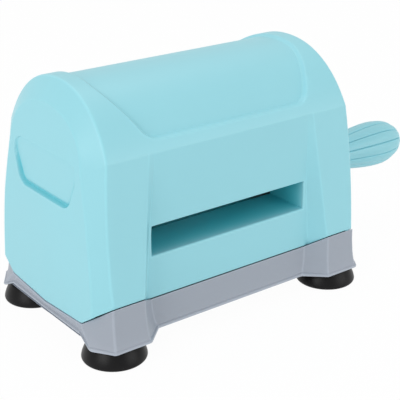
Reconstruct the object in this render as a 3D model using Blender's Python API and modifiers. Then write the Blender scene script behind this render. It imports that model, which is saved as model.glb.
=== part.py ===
"""A hand-cranked die cutting machine: a moulded housing on a grey base with four suction cups.

A crank turns a pinion. The pinion turns the upper roller through a gear, and an equal gear on the lower
roller turns it the other way, so a sandwich of plates is drawn through the slot. Lengths are in metres,
the front faces -Y, the crank is at +X, and +Z is up from the table.
"""

import math

import bmesh
import bpy

# Feed slot
SLOT_HALF_LENGTH = 0.0403
SLOT_FLOOR = 0.0399
SLOT_CEILING = 0.0526
THROAT_WALL = 0.0016
THROAT_END = 0.0127

# Housing, outer form
RECESS_DEPTH_LINE = 0.0352
CREASE_HEIGHT = 0.0839
CREASE_CORNER = 0.0604
FLARE_HEIGHT = 0.0266
FLARE_CORNER = 0.0639
FLARE_DEPTH = 0.0424
ARCH_FOOT = 0.0770
ARCH_HALF_DEPTH = 0.0354
APEX_HEIGHT = 0.10885
APEX_LEAN = 0.0015
ARCH_POWER_SHARE = 2.7
ARCH_STEPS = 13

# Housing, end faces
END_LOW_HEIGHT = 0.0220
END_LOW_REACH = 0.0697
END_LOW_DEPTH = 0.0360
END_MIDDLE_HEIGHT = 0.0530
END_MIDDLE_REACH = 0.0682
END_MIDDLE_DEPTH = 0.0333
END_TOP_HEIGHT = 0.0790
END_TOP_REACH = 0.0663
END_TOP_DEPTH = 0.0276
END_APEX_HEIGHT = 0.0996
END_APEX_REACH = 0.0648
END_POWER_SHARE = 2.1
RIDGE_RISE = 0.0010
HOUSING_WALL = 0.0024

# Pilasters beside the slot
PILASTER_TOP_HEIGHT = 0.0800
PILASTER_TOP_INNER = 0.0396
PILASTER_TOP_OUTER = 0.0427
PILASTER_LOW_HEIGHT = 0.0270
PILASTER_LOW_INNER = 0.0433
PILASTER_LOW_OUTER = 0.0488
PILASTER_STEPS = 8

# Shallow panel let into the dome
PANEL_DEPTH = 0.0020
PANEL_LOW_HEIGHT = 0.0890
PANEL_LOW_HALF_LENGTH = 0.0390
PANEL_TOP_HALF_LENGTH = 0.0525
PANEL_EDGE_LEAN = 0.0012
PANEL_SPREAD_SHARE = 0.6

# Hand-hold in the left end
HOLD_LOW_HEIGHT = 0.0612
HOLD_TOP_HEIGHT = 0.0813
HOLD_LOW_HALF_WIDTH = 0.0185
HOLD_WIDE_HEIGHT = 0.0760
HOLD_WIDE_HALF_WIDTH = 0.0245
HOLD_TOP_HALF_WIDTH = 0.0215
HOLD_CORNER = 0.0028
HOLD_LOW_DEPTH = 0.0038
HOLD_TOP_DEPTH = 0.0010

# Seam between housing and base
SEAM_HEIGHT = 0.0166
SEAM_FLAT_HALF_WIDTH = 0.0283
SEAM_SLOPE_SHARE = 0.70
SEAM_GAP = 0.0003

# Base
BASE_BOTTOM = 0.0084
BASE_TOP = 0.0340
BASE_WALL = 0.0024
DECK_UNDERSIDE = 0.0112
DECK_TOP = 0.0132
BASE_ROUND = 0.0012
BASE_ROUND_STEPS = 3
FOOT_END_REACH = 0.0713
FOOT_END_DEPTH = 0.0335
FOOT_MIDDLE_REACH = 0.0714
FOOT_CORNER_REACH = 0.0655
FOOT_CORNER_DEPTH = 0.0460
FOOT_PILASTER = 0.0478
FOOT_RECESS = 0.0414
FOOT_RECESS_DEPTH = 0.0380
RIM_END_REACH = 0.0703
RIM_MIDDLE_REACH = 0.0713
RIM_CORNER_REACH = 0.0643
RIM_CORNER_DEPTH = 0.0429
RIM_PILASTER = 0.0491
RIM_RECESS = 0.0437
RIM_RECESS_HEIGHT = 0.0215
RIM_RECESS_DEPTH = 0.0356
END_ARCH_FOOT = 0.0320
END_ARCH_TOP = 0.0285

# Suction cups
CUP_REACH = 0.0580
CUP_DEPTH = 0.0328
CUP_RADIUS = 0.0135
CUP_LIP = 0.0007
CUP_NECK_RADIUS = 0.0086
CUP_HOLLOW = 0.0036
STUD_RADIUS = 0.0020
STUD_BURY = 0.0050
STUD_TOP = 0.0172
NUT_RADIUS = 0.0040
NUT_HEIGHT = 0.0028

# Side plates and tie bars
PLATE_INNER_FACE = 0.0434
PLATE_THICKNESS = 0.0020
PLATE_HALF_WIDTH = 0.0260
PLATE_SHOULDER = 0.0760
PLATE_TOP = 0.0960
PLATE_TOP_HALF_WIDTH = 0.0150
TAB_LENGTH = 0.0105
TAB_NEAR = 0.0130
TAB_FAR = 0.0250
TIE_RADIUS = 0.0040
TIE_NECK_RADIUS = 0.0025
TIE_HEAD_LENGTH = 0.0015
TIE_LOW_DEPTH = 0.0200
TIE_LOW_HEIGHT = 0.0240
TIE_TOP_HEIGHT = 0.0910
TIE_TOP_OFFSET = 0.0090

# Rollers and gears
NIP = 0.0105
TOOTH_MODULE = 0.00125
GEAR_TEETH = 25
PINION_TEETH = 12
PRESSURE_SHARE = 20 / 360
BACKLASH = 0.00016
GEAR_WIDTH = 0.0080
SHAFT_RADIUS = 0.0040
JOURNAL_CLEARANCE = 0.00010
ROLLER_HALF_LENGTH = 0.0410
BUSH_WALL = 0.0017
BUSH_FLANGE = 0.0015
BUSH_FLANGE_LENGTH = 0.0014
CLIP_THICKNESS = 0.0008
CLIP_WIDTH = 0.0024
CLIP_SEAT = 0.0008

# Crank
CRANK_OFFSET = 0.0080
BOSS_RADIUS = 0.0090
BOSS_FACE = 0.0706
ARM_THICKNESS = 0.0080
ARM_HUB_RADIUS = 0.0095
ARM_END_RADIUS = 0.0080
ARM_LENGTH = 0.0439
ARM_EDGE = 0.0009
SHAFT_FLAT = 0.0030
COLLAR_RADIUS = 0.0060
COLLAR_LENGTH = 0.0020
GRIP_LENGTH = 0.0660
GRIP_RADIUS = 0.0107
GRIP_START_RADIUS = 0.0092
GRIP_ROUND_LENGTH = 0.0260
GRIP_MOUTH = 0.0012
GRIP_GROOVE = 0.0007
GRIP_GROOVES = 12
PIN_RADIUS = 0.0030
PIN_BURY = 0.0060
PIN_LENGTH = 0.0480
PIN_RING = 0.0006

# Screws
SCREW_RADIUS = 0.0015
SCREW_HEAD_RADIUS = 0.0028
SCREW_HEAD_HEIGHT = 0.0020
SCREW_SOCKET_RADIUS = 0.0013
SCREW_SOCKET_DEPTH = 0.0011
HOUSING_SCREW_LENGTH = 0.0120
HOUSING_SCREW_REACH = 0.0620
HOUSING_SCREW_DEPTH = 0.0180
POST_RADIUS = 0.0034
POST_TOP = 0.0330
BASE_BOSS_RADIUS = 0.0045
BOSS_SEAT = 0.0134
TAB_SCREW_LENGTH = 0.0052

# Fits
SEAT_GAP = 0.0002
SCREW_CLEARANCE = 0.0003
PRESS_GAP = 0.00005
OVERRUN = 0.0200

# Circle divisions
ROUND_STEPS = 20
SMALL_STEPS = 12
CLIP_STEPS = 16
CUP_STEPS = 20

FINISHES = {
    "teal_plastic": ((0.292, 0.665, 0.725), 0.42, 0.0),
    "grey_plastic": ((0.352, 0.402, 0.456), 0.48, 0.0),
    "black_rubber": ((0.012, 0.012, 0.013), 0.38, 0.0),
    "zinc_steel": ((0.56, 0.57, 0.58), 0.34, 1.0),
    "roller_steel": ((0.62, 0.62, 0.63), 0.22, 1.0),
    "gear_nylon": ((0.72, 0.70, 0.64), 0.45, 0.0),
    "bronze_bush": ((0.46, 0.30, 0.15), 0.38, 1.0),
}


def clear_scene():
    """Removes every object of the startup scene."""
    for found in list(bpy.data.objects):
        bpy.data.objects.remove(found, do_unlink=True)


def collection_named(name):
    """The collection of this name, made and linked to the scene at first use."""
    found = bpy.data.collections.get(name)
    if found is None:
        found = bpy.data.collections.new(name)
        bpy.context.scene.collection.children.link(found)
    return found


def finish_of(finish, name):
    """A material of the named finish, for one piece only."""
    colour, roughness, metal = FINISHES[finish]
    material = bpy.data.materials.new(name + "_" + finish)
    material.use_nodes = True
    shader = material.node_tree.nodes["Principled BSDF"]
    shader.inputs["Base Color"].default_value = (*colour, 1)
    shader.inputs["Roughness"].default_value = roughness
    shader.inputs["Metallic"].default_value = metal
    return material


def place_piece(name, data, finish):
    """Puts the data in the scene as one named piece with its own material."""
    piece = bpy.data.objects.new(name, data)
    collection_named("die_cutting_machine").objects.link(piece)
    data.materials.append(finish_of(finish, name))
    return piece


def place_cutter(name, data):
    """Puts the data in the scene as a helper that isn't rendered."""
    cutter = bpy.data.objects.new(name, data)
    collection_named("cutters").objects.link(cutter)
    cutter.hide_render = True
    cutter.display_type = "WIRE"
    return cutter


def place(name, data, finish):
    """A piece when a finish is given, or else a helper."""
    return place_piece(name, data, finish) if finish else place_cutter(name, data)


def solid_mesh(name, points, faces):
    """A closed mesh whose faces point outwards."""
    work = bmesh.new()
    made = [work.verts.new(point) for point in points]
    for face in faces:
        work.faces.new([made[index] for index in face])
    bmesh.ops.recalc_face_normals(work, faces=work.faces)
    if work.calc_volume(signed=True) < 0:
        bmesh.ops.reverse_faces(work, faces=work.faces)
    mesh = bpy.data.meshes.new(name)
    work.to_mesh(mesh)
    work.free()
    return mesh


def lofted(name, rings, finish=None):
    """A solid through rings with equally many points, closed by a flat face at each end."""
    count = len(rings[0])
    points = [point for ring in rings for point in ring]
    faces = [list(range(count)), [len(points) - count + index for index in range(count)]]
    for level in range(len(rings) - 1):
        start = level * count
        for index in range(count):
            after = (index + 1) % count
            faces.append([start + index, start + after, start + count + after, start + count + index])
    return place(name, solid_mesh(name, points, faces), finish)


def box(name, low, high, finish=None):
    """A box between two opposite corners."""
    ring = [(low[0], low[1]), (high[0], low[1]), (high[0], high[1]), (low[0], high[1])]
    return lofted(name, [[(x, y, z) for x, y in ring] for z in (low[2], high[2])], finish)


def turned(name, profile, place_at, finish=None, along_x=False, closed=False, steps=ROUND_STEPS):
    """Turns a profile of (radius, distance along the axis) about an upright axis, or one along +X.

    The profile runs down the outer side. A closed one comes back up its inner side.
    """
    mesh = bpy.data.meshes.new(name)
    points = [(radius, 0, along) for radius, along in profile]
    edges = [(index, index + 1) for index in range(len(points) - 1)]
    if closed:
        edges.append((len(points) - 1, 0))
    mesh.from_pydata(points, edges, [])
    made = place(name, mesh, finish)
    made.location = place_at
    if along_x:
        made.rotation_euler = (0, math.pi / 2, 0)
    screw = made.modifiers.new("turn", "SCREW")
    screw.steps = steps
    screw.render_steps = steps
    screw.use_merge_vertices = True
    screw.merge_threshold = JOURNAL_CLEARANCE / ROUND_STEPS
    return made


def rod(name, radius, start, end, place_at, finish=None, along_x=False, steps=ROUND_STEPS):
    """A plain cylinder from start to end along its axis."""
    profile = [(0, end), (radius, end), (radius, start), (0, start)]
    return turned(name, profile, place_at, finish, along_x, steps=steps)


def flat_piece(name, loops, thickness, place_at, finish=None):
    """A flat piece square to X, from loops of (y, z) about its origin. Inner loops are holes."""
    curve = bpy.data.curves.new(name + "_outline", "CURVE")
    curve.dimensions = "2D"
    curve.fill_mode = "BOTH"
    curve.extrude = thickness / 2
    for loop in loops:
        spline = curve.splines.new("POLY")
        spline.points.add(len(loop) - 1)
        for point, (y, z) in zip(spline.points, loop):
            point.co = (-z, y, 0, 1)
        spline.use_cyclic_u = True
    source = bpy.data.objects.new(name + "_outline", curve)
    mesh = bpy.data.meshes.new_from_object(source)
    bpy.data.objects.remove(source)
    mesh.name = name
    work = bmesh.new()
    work.from_mesh(mesh)
    bmesh.ops.remove_doubles(work, verts=work.verts, dist=JOURNAL_CLEARANCE / ROUND_STEPS)
    bmesh.ops.recalc_face_normals(work, faces=work.faces)
    work.to_mesh(mesh)
    work.free()
    made = place(name, mesh, finish)
    made.location = place_at
    made.rotation_euler = (0, math.pi / 2, 0)
    return made


def combine(target, operation, other):
    """Adds an exact Boolean of this operation to the target."""
    step = target.modifiers.new(operation.lower() + "_" + other.name, "BOOLEAN")
    step.operation = operation
    step.solver = "EXACT"
    step.object = other


def cut(target, *others):
    for other in others:
        combine(target, "DIFFERENCE", other)


def join(target, *others):
    for other in others:
        combine(target, "UNION", other)


def cut_together(target, name, others):
    """Cuts several helpers that don't touch each other in one step."""
    bpy.context.view_layer.update()
    graph = bpy.context.evaluated_depsgraph_get()
    work = bmesh.new()
    for other in others:
        mesh = bpy.data.meshes.new_from_object(other.evaluated_get(graph))
        mesh.transform(other.matrix_world)
        work.from_mesh(mesh)
        bpy.data.meshes.remove(mesh)
        bpy.data.objects.remove(other)
    joined = bpy.data.meshes.new(name)
    work.to_mesh(joined)
    work.free()
    cut(target, place_cutter(name, joined))


def soften(piece, width, segments=1):
    """Rounds the sharp edges of a piece."""
    bevel = piece.modifiers.new("soft_edges", "BEVEL")
    bevel.width = width
    bevel.segments = segments
    bevel.limit_method = "ANGLE"
    bevel.angle_limit = math.radians(40)


def circle(radius, steps=ROUND_STEPS, y=0, z=0):
    """A loop of points round (y, z)."""
    turns = [2 * math.pi * index / steps for index in range(steps)]
    return [(y + radius * math.cos(turn), z + radius * math.sin(turn)) for turn in turns]


def between(low, high, share):
    return low + (high - low) * share


def along(levels, height):
    """The value at a height, from (height, value) pairs, carried on past both ends."""
    pairs = list(zip(levels, levels[1:]))
    for (low, first), (high, second) in pairs:
        if height <= high or (high, second) == levels[-1]:
            return between(first, second, (height - low) / (high - low))
    return levels[-1][1]


def pilaster_depth(height):
    """How far the pilasters' front stands from the middle, at a height."""
    return along([(FLARE_HEIGHT, FLARE_DEPTH), (CREASE_HEIGHT, crease_depth(0))], height)


def arch_depth(height, inset):
    """Half the depth of the dome at a height, with the whole dome drawn in by the inset."""
    rise = APEX_HEIGHT - inset - ARCH_FOOT
    share = min(max((height - ARCH_FOOT) / rise, 0), 1)
    return (ARCH_HALF_DEPTH - inset) * (1 - share**ARCH_POWER_SHARE) ** (1 / ARCH_POWER_SHARE)


def crease_depth(inset):
    return arch_depth(CREASE_HEIGHT, inset)


def end_reach(height):
    """How far the end face stands from the middle, at a height."""
    levels = [
        (END_LOW_HEIGHT, END_LOW_REACH),
        (END_MIDDLE_HEIGHT, END_MIDDLE_REACH),
        (END_TOP_HEIGHT, END_TOP_REACH),
        (END_APEX_HEIGHT, END_APEX_REACH),
    ]
    return along(levels, height)


def end_depth(height):
    """Half the depth of the end face at a height below its arch."""
    levels = [
        (END_LOW_HEIGHT, END_LOW_DEPTH),
        (END_MIDDLE_HEIGHT, END_MIDDLE_DEPTH),
        (END_TOP_HEIGHT, END_TOP_DEPTH),
    ]
    return along(levels, height)


def outer_side(inset, dome_inset):
    """Points (x, y, z) up one side of the housing, from the bottom to the apex, along the corner."""
    bottom = BASE_BOTTOM
    side = []
    for height in (bottom, END_MIDDLE_HEIGHT, CREASE_HEIGHT):
        reach = along([(FLARE_HEIGHT, FLARE_CORNER), (CREASE_HEIGHT, CREASE_CORNER)], height)
        depth = pilaster_depth(height) - inset
        if height == CREASE_HEIGHT:
            depth = crease_depth(dome_inset)
        side.append((reach - inset, depth, height))
    low = crease_depth(dome_inset)
    start = math.acos(min(low / (ARCH_HALF_DEPTH - dome_inset), 1) ** (ARCH_POWER_SHARE / 2))
    rise = APEX_HEIGHT - dome_inset - ARCH_FOOT
    for step in range(1, ARCH_STEPS + 1):
        turn = between(start, math.pi / 2, step / ARCH_STEPS)
        height = ARCH_FOOT + rise * math.sin(turn) ** (2 / ARCH_POWER_SHARE)
        depth = 0
        if step < ARCH_STEPS:
            depth = (ARCH_HALF_DEPTH - dome_inset) * math.cos(turn) ** (2 / ARCH_POWER_SHARE)
        lean = APEX_LEAN * ((height - CREASE_HEIGHT) / (APEX_HEIGHT - CREASE_HEIGHT)) ** 2
        side.append((CREASE_CORNER - inset - lean, depth, height))
    return side


def end_side(inset, dome_inset):
    """Points (x, y, z) up one side of the end face, matching those of outer_side."""
    side = []
    for height in (BASE_BOTTOM, END_MIDDLE_HEIGHT, END_TOP_HEIGHT):
        side.append((end_reach(height) - inset, end_depth(height) - inset, height))
    rise = END_APEX_HEIGHT - dome_inset - END_TOP_HEIGHT
    for step in range(1, ARCH_STEPS + 1):
        turn = math.pi / 2 * step / ARCH_STEPS
        height = END_TOP_HEIGHT + rise * math.sin(turn) ** (2 / END_POWER_SHARE)
        depth = 0
        if step < ARCH_STEPS:
            depth = (END_TOP_DEPTH - inset) * math.cos(turn) ** (2 / END_POWER_SHARE)
        side.append((end_reach(height) - inset, depth, height))
    return side


def housing_form(name, inset, dome_inset, finish=None):
    """The closed outer form of the housing, drawn in by an inset, with a soft ridge down each end."""
    rings = []
    for sign, sides in ((-1, (end_side, outer_side)), (1, (outer_side, end_side))):
        for side in sides:
            half = side(inset, dome_inset)
            front = [(sign * x, -y, z) for x, y, z in half]
            rear = [(sign * x, y, z) for x, y, z in half[-2::-1]]
            rings.append(front + rear)
    count = len(rings[0])
    points = [point for ring in rings for point in ring]
    faces = []
    for level in range(len(rings) - 1):
        start = level * count
        for index in range(count):
            after = (index + 1) % count
            faces.append([start + index, start + after, start + count + after, start + count + index])
    top = (count - 1) // 2
    for start, sign in ((0, -1), (len(points) - count, 1)):
        ridge = []
        for level in range(top):
            reach, _, height = rings[0][level]
            rise = RIDGE_RISE * (1 - (height - BASE_BOTTOM) / (END_APEX_HEIGHT - BASE_BOTTOM))
            ridge.append(len(points))
            points.append((sign * (abs(reach) + rise), 0, height))
        ridge.append(start + top)
        for level in range(top):
            front = [start + level, start + level + 1, ridge[level + 1], ridge[level]]
            mirror = start + count - 1 - level
            rear = [mirror, mirror - 1, ridge[level + 1], ridge[level]]
            for face in (front, rear):
                faces.append(list(dict.fromkeys(face)))
        faces.append([start, ridge[0], start + count - 1])
    return place(name, solid_mesh(name, points, faces), finish)


def recess_cutter(name, side, inset, low, high):
    """What lies between the pilasters and in front of the slotted face, on one side."""
    rings = []
    for step in range(PILASTER_STEPS + 1):
        height = between(low, high, step / PILASTER_STEPS)
        share = (height - PILASTER_LOW_HEIGHT) / (PILASTER_TOP_HEIGHT - PILASTER_LOW_HEIGHT)
        inner = between(PILASTER_LOW_INNER, PILASTER_TOP_INNER, share)
        outer = between(PILASTER_LOW_OUTER, PILASTER_TOP_OUTER, share)
        face = RECESS_DEPTH_LINE - inset
        front = max(pilaster_depth(height), RECESS_DEPTH_LINE + SEAM_GAP)
        widen = (outer - inner) / (front - RECESS_DEPTH_LINE) * OVERRUN
        widen = min(widen, OVERRUN * 2)
        near = inner + inset / 2
        rings.append(
            [
                (-near, side * face, height),
                (near, side * face, height),
                (near + widen, side * (face + OVERRUN), height),
                (-near - widen, side * (face + OVERRUN), height),
            ]
        )
    return lofted(name, rings)


def panel_cutter():
    """The shallow panel over the dome, from the front edge over the top to the rear edge."""
    heights = []
    rise = APEX_HEIGHT - PANEL_DEPTH - ARCH_FOOT
    low = ((PANEL_LOW_HEIGHT - ARCH_FOOT) / rise) ** (ARCH_POWER_SHARE / 2)
    start = math.asin(low)
    rings = []
    for step in range(-ARCH_STEPS, ARCH_STEPS + 1):
        turn = between(math.pi / 2, start, abs(step) / ARCH_STEPS)
        sign = -1 if step < 0 else 1
        height = ARCH_FOOT + rise * math.sin(turn) ** (2 / ARCH_POWER_SHARE)
        depth = 0
        if step:
            depth = sign * (ARCH_HALF_DEPTH - PANEL_DEPTH) * math.cos(turn) ** (2 / ARCH_POWER_SHARE)
        share = (height - PANEL_LOW_HEIGHT) / (APEX_HEIGHT - PANEL_DEPTH - PANEL_LOW_HEIGHT)
        half = between(PANEL_LOW_HALF_LENGTH, PANEL_TOP_HALF_LENGTH, max(share, 0) ** PANEL_SPREAD_SHARE)
        scale = 1 + PANEL_DEPTH * 2 / ARCH_HALF_DEPTH
        outer_depth = depth * scale
        outer_height = ARCH_FOOT + (height - ARCH_FOOT) * scale
        wide = half + PANEL_EDGE_LEAN * 2
        heights.append(height)
        rings.append(
            [
                (-half, depth, height),
                (half, depth, height),
                (wide, outer_depth, outer_height),
                (-wide, outer_depth, outer_height),
            ]
        )
    return lofted("panel_cutter", rings)


def hold_outline():
    """The hand-hold's outline as (y, z), with its corners cut."""
    right = [
        (HOLD_LOW_HALF_WIDTH - HOLD_CORNER, HOLD_LOW_HEIGHT),
        (HOLD_LOW_HALF_WIDTH, HOLD_LOW_HEIGHT + HOLD_CORNER / 3),
        (HOLD_LOW_HALF_WIDTH + HOLD_CORNER / 2, HOLD_LOW_HEIGHT + HOLD_CORNER),
        (HOLD_WIDE_HALF_WIDTH, HOLD_WIDE_HEIGHT),
        (HOLD_WIDE_HALF_WIDTH - HOLD_CORNER / 3, HOLD_TOP_HEIGHT - HOLD_CORNER / 2),
        (HOLD_TOP_HALF_WIDTH, HOLD_TOP_HEIGHT),
    ]
    return right + [(-y, z) for y, z in reversed(right)]


def hold_cutter():
    """The hand-hold: a shallow wedge, deepest along its lower edge."""
    outside = []
    floor = []
    for y, z in hold_outline():
        share = (z - HOLD_LOW_HEIGHT) / (HOLD_TOP_HEIGHT - HOLD_LOW_HEIGHT)
        depth = between(HOLD_LOW_DEPTH, HOLD_TOP_DEPTH, share)
        outside.append((-END_LOW_REACH - OVERRUN, y, z))
        floor.append((depth - between(end_reach(HOLD_LOW_HEIGHT), end_reach(HOLD_TOP_HEIGHT), share), y, z))
    return lofted("hold_cutter", [outside, floor])


def seam_block(name, shift, upward):
    """Everything above the seam, or below it, moved by a shift."""
    far = FOOT_CORNER_DEPTH + OVERRUN
    rise = (far - SEAM_FLAT_HALF_WIDTH) * SEAM_SLOPE_SHARE
    low = SEAM_HEIGHT + shift
    edge = [(-far, low + rise), (-SEAM_FLAT_HALF_WIDTH, low), (SEAM_FLAT_HALF_WIDTH, low), (far, low + rise)]
    close = APEX_HEIGHT if upward else -OVERRUN
    loop = edge + [(far, close), (-far, close)]
    reach = FOOT_END_REACH + OVERRUN
    return lofted(name, [[(x, y, z) for y, z in loop] for x in (-reach, reach)])


def housing_screw_places():
    return [(x * HOUSING_SCREW_REACH, y * HOUSING_SCREW_DEPTH) for x in (-1, 1) for y in (-1, 1)]


def make_housing():
    """The moulded housing: dome, pilasters, slot throats, hand-hold, crank boss and screw posts."""
    shell = housing_form("housing_shell", 0, 0, "teal_plastic")
    hollow = housing_form("housing_hollow", HOUSING_WALL, HOUSING_WALL + PANEL_DEPTH)
    for side, label in ((-1, "front"), (1, "rear")):
        cut(shell, recess_cutter("recess_" + label, side, 0, 0, PILASTER_TOP_HEIGHT))
        cut(hollow, recess_cutter("recess_backing_" + label, side, HOUSING_WALL, 0, CREASE_HEIGHT))
    backing = box(
        "hold_backing",
        (-END_LOW_REACH - OVERRUN, -HOLD_WIDE_HALF_WIDTH - HOUSING_WALL, HOLD_LOW_HEIGHT - HOUSING_WALL),
        (
            HOLD_LOW_DEPTH + HOUSING_WALL - end_reach(HOLD_LOW_HEIGHT),
            HOLD_WIDE_HALF_WIDTH + HOUSING_WALL,
            HOLD_TOP_HEIGHT + HOUSING_WALL,
        ),
    )
    cut(hollow, backing)
    cut(shell, hollow)
    for side, label in ((-1, "front"), (1, "rear")):
        ends = sorted((side * THROAT_END, side * (RECESS_DEPTH_LINE - HOUSING_WALL / 2)))
        reach = SLOT_HALF_LENGTH + THROAT_WALL
        throat = box(
            "throat_" + label,
            (-reach, ends[0], SLOT_FLOOR - THROAT_WALL),
            (reach, ends[1], SLOT_CEILING + THROAT_WALL),
        )
        join(shell, throat)
    axis = (0, CRANK_OFFSET, crank_height())
    join(shell, rod("crank_boss", BOSS_RADIUS, boss_start(), BOSS_FACE, axis, along_x=True))
    for index, (x, y) in enumerate(housing_screw_places()):
        tag = str(index + 1)
        post = rod("post_" + tag, POST_RADIUS, 0, POST_TOP, (x, y, 0), steps=SMALL_STEPS)
        wall = math.copysign(end_reach(POST_TOP) - HOUSING_WALL / 2, x)
        near, far = sorted((x, wall))
        low = (near, y - SCREW_RADIUS, 0)
        rib = box("post_rib_" + tag, low, (far, y + SCREW_RADIUS, POST_TOP))
        join(shell, post, rib)
    for side, label in ((-1, "front"), (1, "rear")):
        ends = sorted((side * (THROAT_END - THROAT_WALL), side * (RECESS_DEPTH_LINE + OVERRUN)))
        slot = box(
            "slot_" + label,
            (-SLOT_HALF_LENGTH, ends[0], SLOT_FLOOR),
            (SLOT_HALF_LENGTH, ends[1], SLOT_CEILING),
        )
        cut(shell, slot)
    cut(shell, panel_cutter(), hold_cutter(), seam_block("below_seam", 0, False))
    radius = SHAFT_RADIUS + JOURNAL_CLEARANCE + BUSH_WALL + PRESS_GAP
    holes = [rod("crank_hole", radius, boss_start() - OVERRUN, BOSS_FACE + OVERRUN, axis, along_x=True)]
    radius = SCREW_RADIUS + SCREW_CLEARANCE
    top = SEAM_HEIGHT + HOUSING_SCREW_LENGTH
    for x, y in housing_screw_places():
        holes.append(rod(corner_name("pilot", x, y), radius, 0, top, (x, y, 0), steps=SMALL_STEPS))
    cut_together(shell, "housing_holes", holes)
    return shell


def base_ring(height, inset):
    """The base's outline at a height, drawn in by an inset, with both recesses."""
    share = (height - BASE_BOTTOM) / (FLARE_HEIGHT - BASE_BOTTOM)
    end_share = (height - BASE_BOTTOM) / (SEAM_HEIGHT - BASE_BOTTOM)
    recess_share = (height - BASE_BOTTOM) / (RIM_RECESS_HEIGHT - BASE_BOTTOM)
    middle = between(FOOT_MIDDLE_REACH, RIM_MIDDLE_REACH, end_share) - inset
    end_x = between(FOOT_END_REACH, RIM_END_REACH, end_share) - inset
    end_y = between(FOOT_END_DEPTH, SEAM_FLAT_HALF_WIDTH, end_share) - inset / 4
    corner_x = between(FOOT_CORNER_REACH, RIM_CORNER_REACH, share) - inset * 0.64
    corner_y = between(FOOT_CORNER_DEPTH, RIM_CORNER_DEPTH, share) - inset
    pilaster = between(FOOT_PILASTER, RIM_PILASTER, share) + inset / 2
    recess_x = between(FOOT_RECESS, RIM_RECESS, recess_share) + inset / 2
    recess_y = between(FOOT_RECESS_DEPTH, RIM_RECESS_DEPTH, recess_share) - inset
    quarter = [
        (end_x, end_y),
        (corner_x, corner_y),
        (pilaster, corner_y),
        (recess_x, recess_y),
    ]
    rear = quarter + [(-x, y) for x, y in reversed(quarter)]
    loop = [(middle, 0)] + rear + [(-middle, 0)] + [(x, -y) for x, y in reversed(rear)]
    return [(x, y, height) for x, y in loop]


def make_base():
    """The grey base: flared walls, a deck, end arches, and bosses for the screws."""
    rings = []
    for step in range(BASE_ROUND_STEPS + 1):
        turn = math.pi / 2 * step / BASE_ROUND_STEPS
        height = BASE_BOTTOM + BASE_ROUND * (1 - math.cos(turn))
        rings.append(base_ring(height, BASE_ROUND * (1 - math.sin(turn))))
    rings.append(base_ring(SEAM_HEIGHT, 0))
    rings.append(base_ring(BASE_TOP, 0))
    base = lofted("base_tray", rings, "grey_plastic")
    levels = (DECK_TOP, SEAM_HEIGHT, BASE_TOP + OVERRUN)
    pocket = lofted("base_pocket", [base_ring(height, BASE_WALL) for height in levels])
    levels = (-OVERRUN, DECK_UNDERSIDE)
    under = lofted("base_underside", [base_ring(height, BASE_WALL) for height in levels])
    cut(base, pocket, under)
    for side, label in ((-1, "left"), (1, "right")):
        loop = [
            (-END_ARCH_FOOT, BASE_BOTTOM),
            (-END_ARCH_TOP, DECK_UNDERSIDE),
            (END_ARCH_TOP, DECK_UNDERSIDE),
            (END_ARCH_FOOT, BASE_BOTTOM),
            (END_ARCH_FOOT, -OVERRUN),
            (-END_ARCH_FOOT, -OVERRUN),
        ]
        ends = sorted((side * (FOOT_END_REACH - BASE_WALL * 2), side * (FOOT_END_REACH + OVERRUN)))
        cut(base, lofted("end_arch_" + label, [[(x, y, z) for y, z in loop] for x in ends]))
    middle = between(DECK_UNDERSIDE, DECK_TOP, 1 / 2)
    bosses = [("base_boss", middle, SEAM_HEIGHT + SEAM_GAP, housing_screw_places())]
    bosses.append(("tab_boss", BASE_BOTTOM + SEAT_GAP, middle, tab_screw_places()))
    for label, low, high, places in bosses:
        for x, y in places:
            boss = rod(corner_name(label, x, y), BASE_BOSS_RADIUS, low, high, (x, y, 0), steps=SMALL_STEPS)
            join(base, boss)
    cut(base, seam_block("above_seam", -SEAM_GAP, True))
    radius = SCREW_RADIUS + SCREW_CLEARANCE
    seat = SCREW_HEAD_RADIUS + SCREW_CLEARANCE
    holes = []
    for x, y in housing_screw_places():
        steps = [(radius, BASE_TOP), (radius, BOSS_SEAT), (seat, BOSS_SEAT), (seat, -OVERRUN)]
        profile = [(0, BASE_TOP)] + steps + [(0, -OVERRUN)]
        holes.append(turned(corner_name("base_hole", x, y), profile, (x, y, 0), steps=SMALL_STEPS))
    for x, y in tab_screw_places():
        low = DECK_TOP - TAB_SCREW_LENGTH + PLATE_THICKNESS
        name = corner_name("tab_hole", x, y)
        holes.append(rod(name, radius, low, BASE_TOP, (x, y, 0), steps=SMALL_STEPS))
    radius = STUD_RADIUS + SCREW_CLEARANCE
    for x, y in cup_places():
        name = corner_name("stud_hole", x, y)
        holes.append(rod(name, radius, -OVERRUN, BASE_TOP, (x, y, 0), steps=SMALL_STEPS))
    cut_together(base, "base_holes", holes)
    return base


def cup_places():
    return [(x * CUP_REACH, y * CUP_DEPTH) for x in (-1, 1) for y in (-1, 1)]


def corner_name(stem, x, y):
    return stem + ("_front" if y < 0 else "_rear") + ("_left" if x < 0 else "_right")


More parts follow.
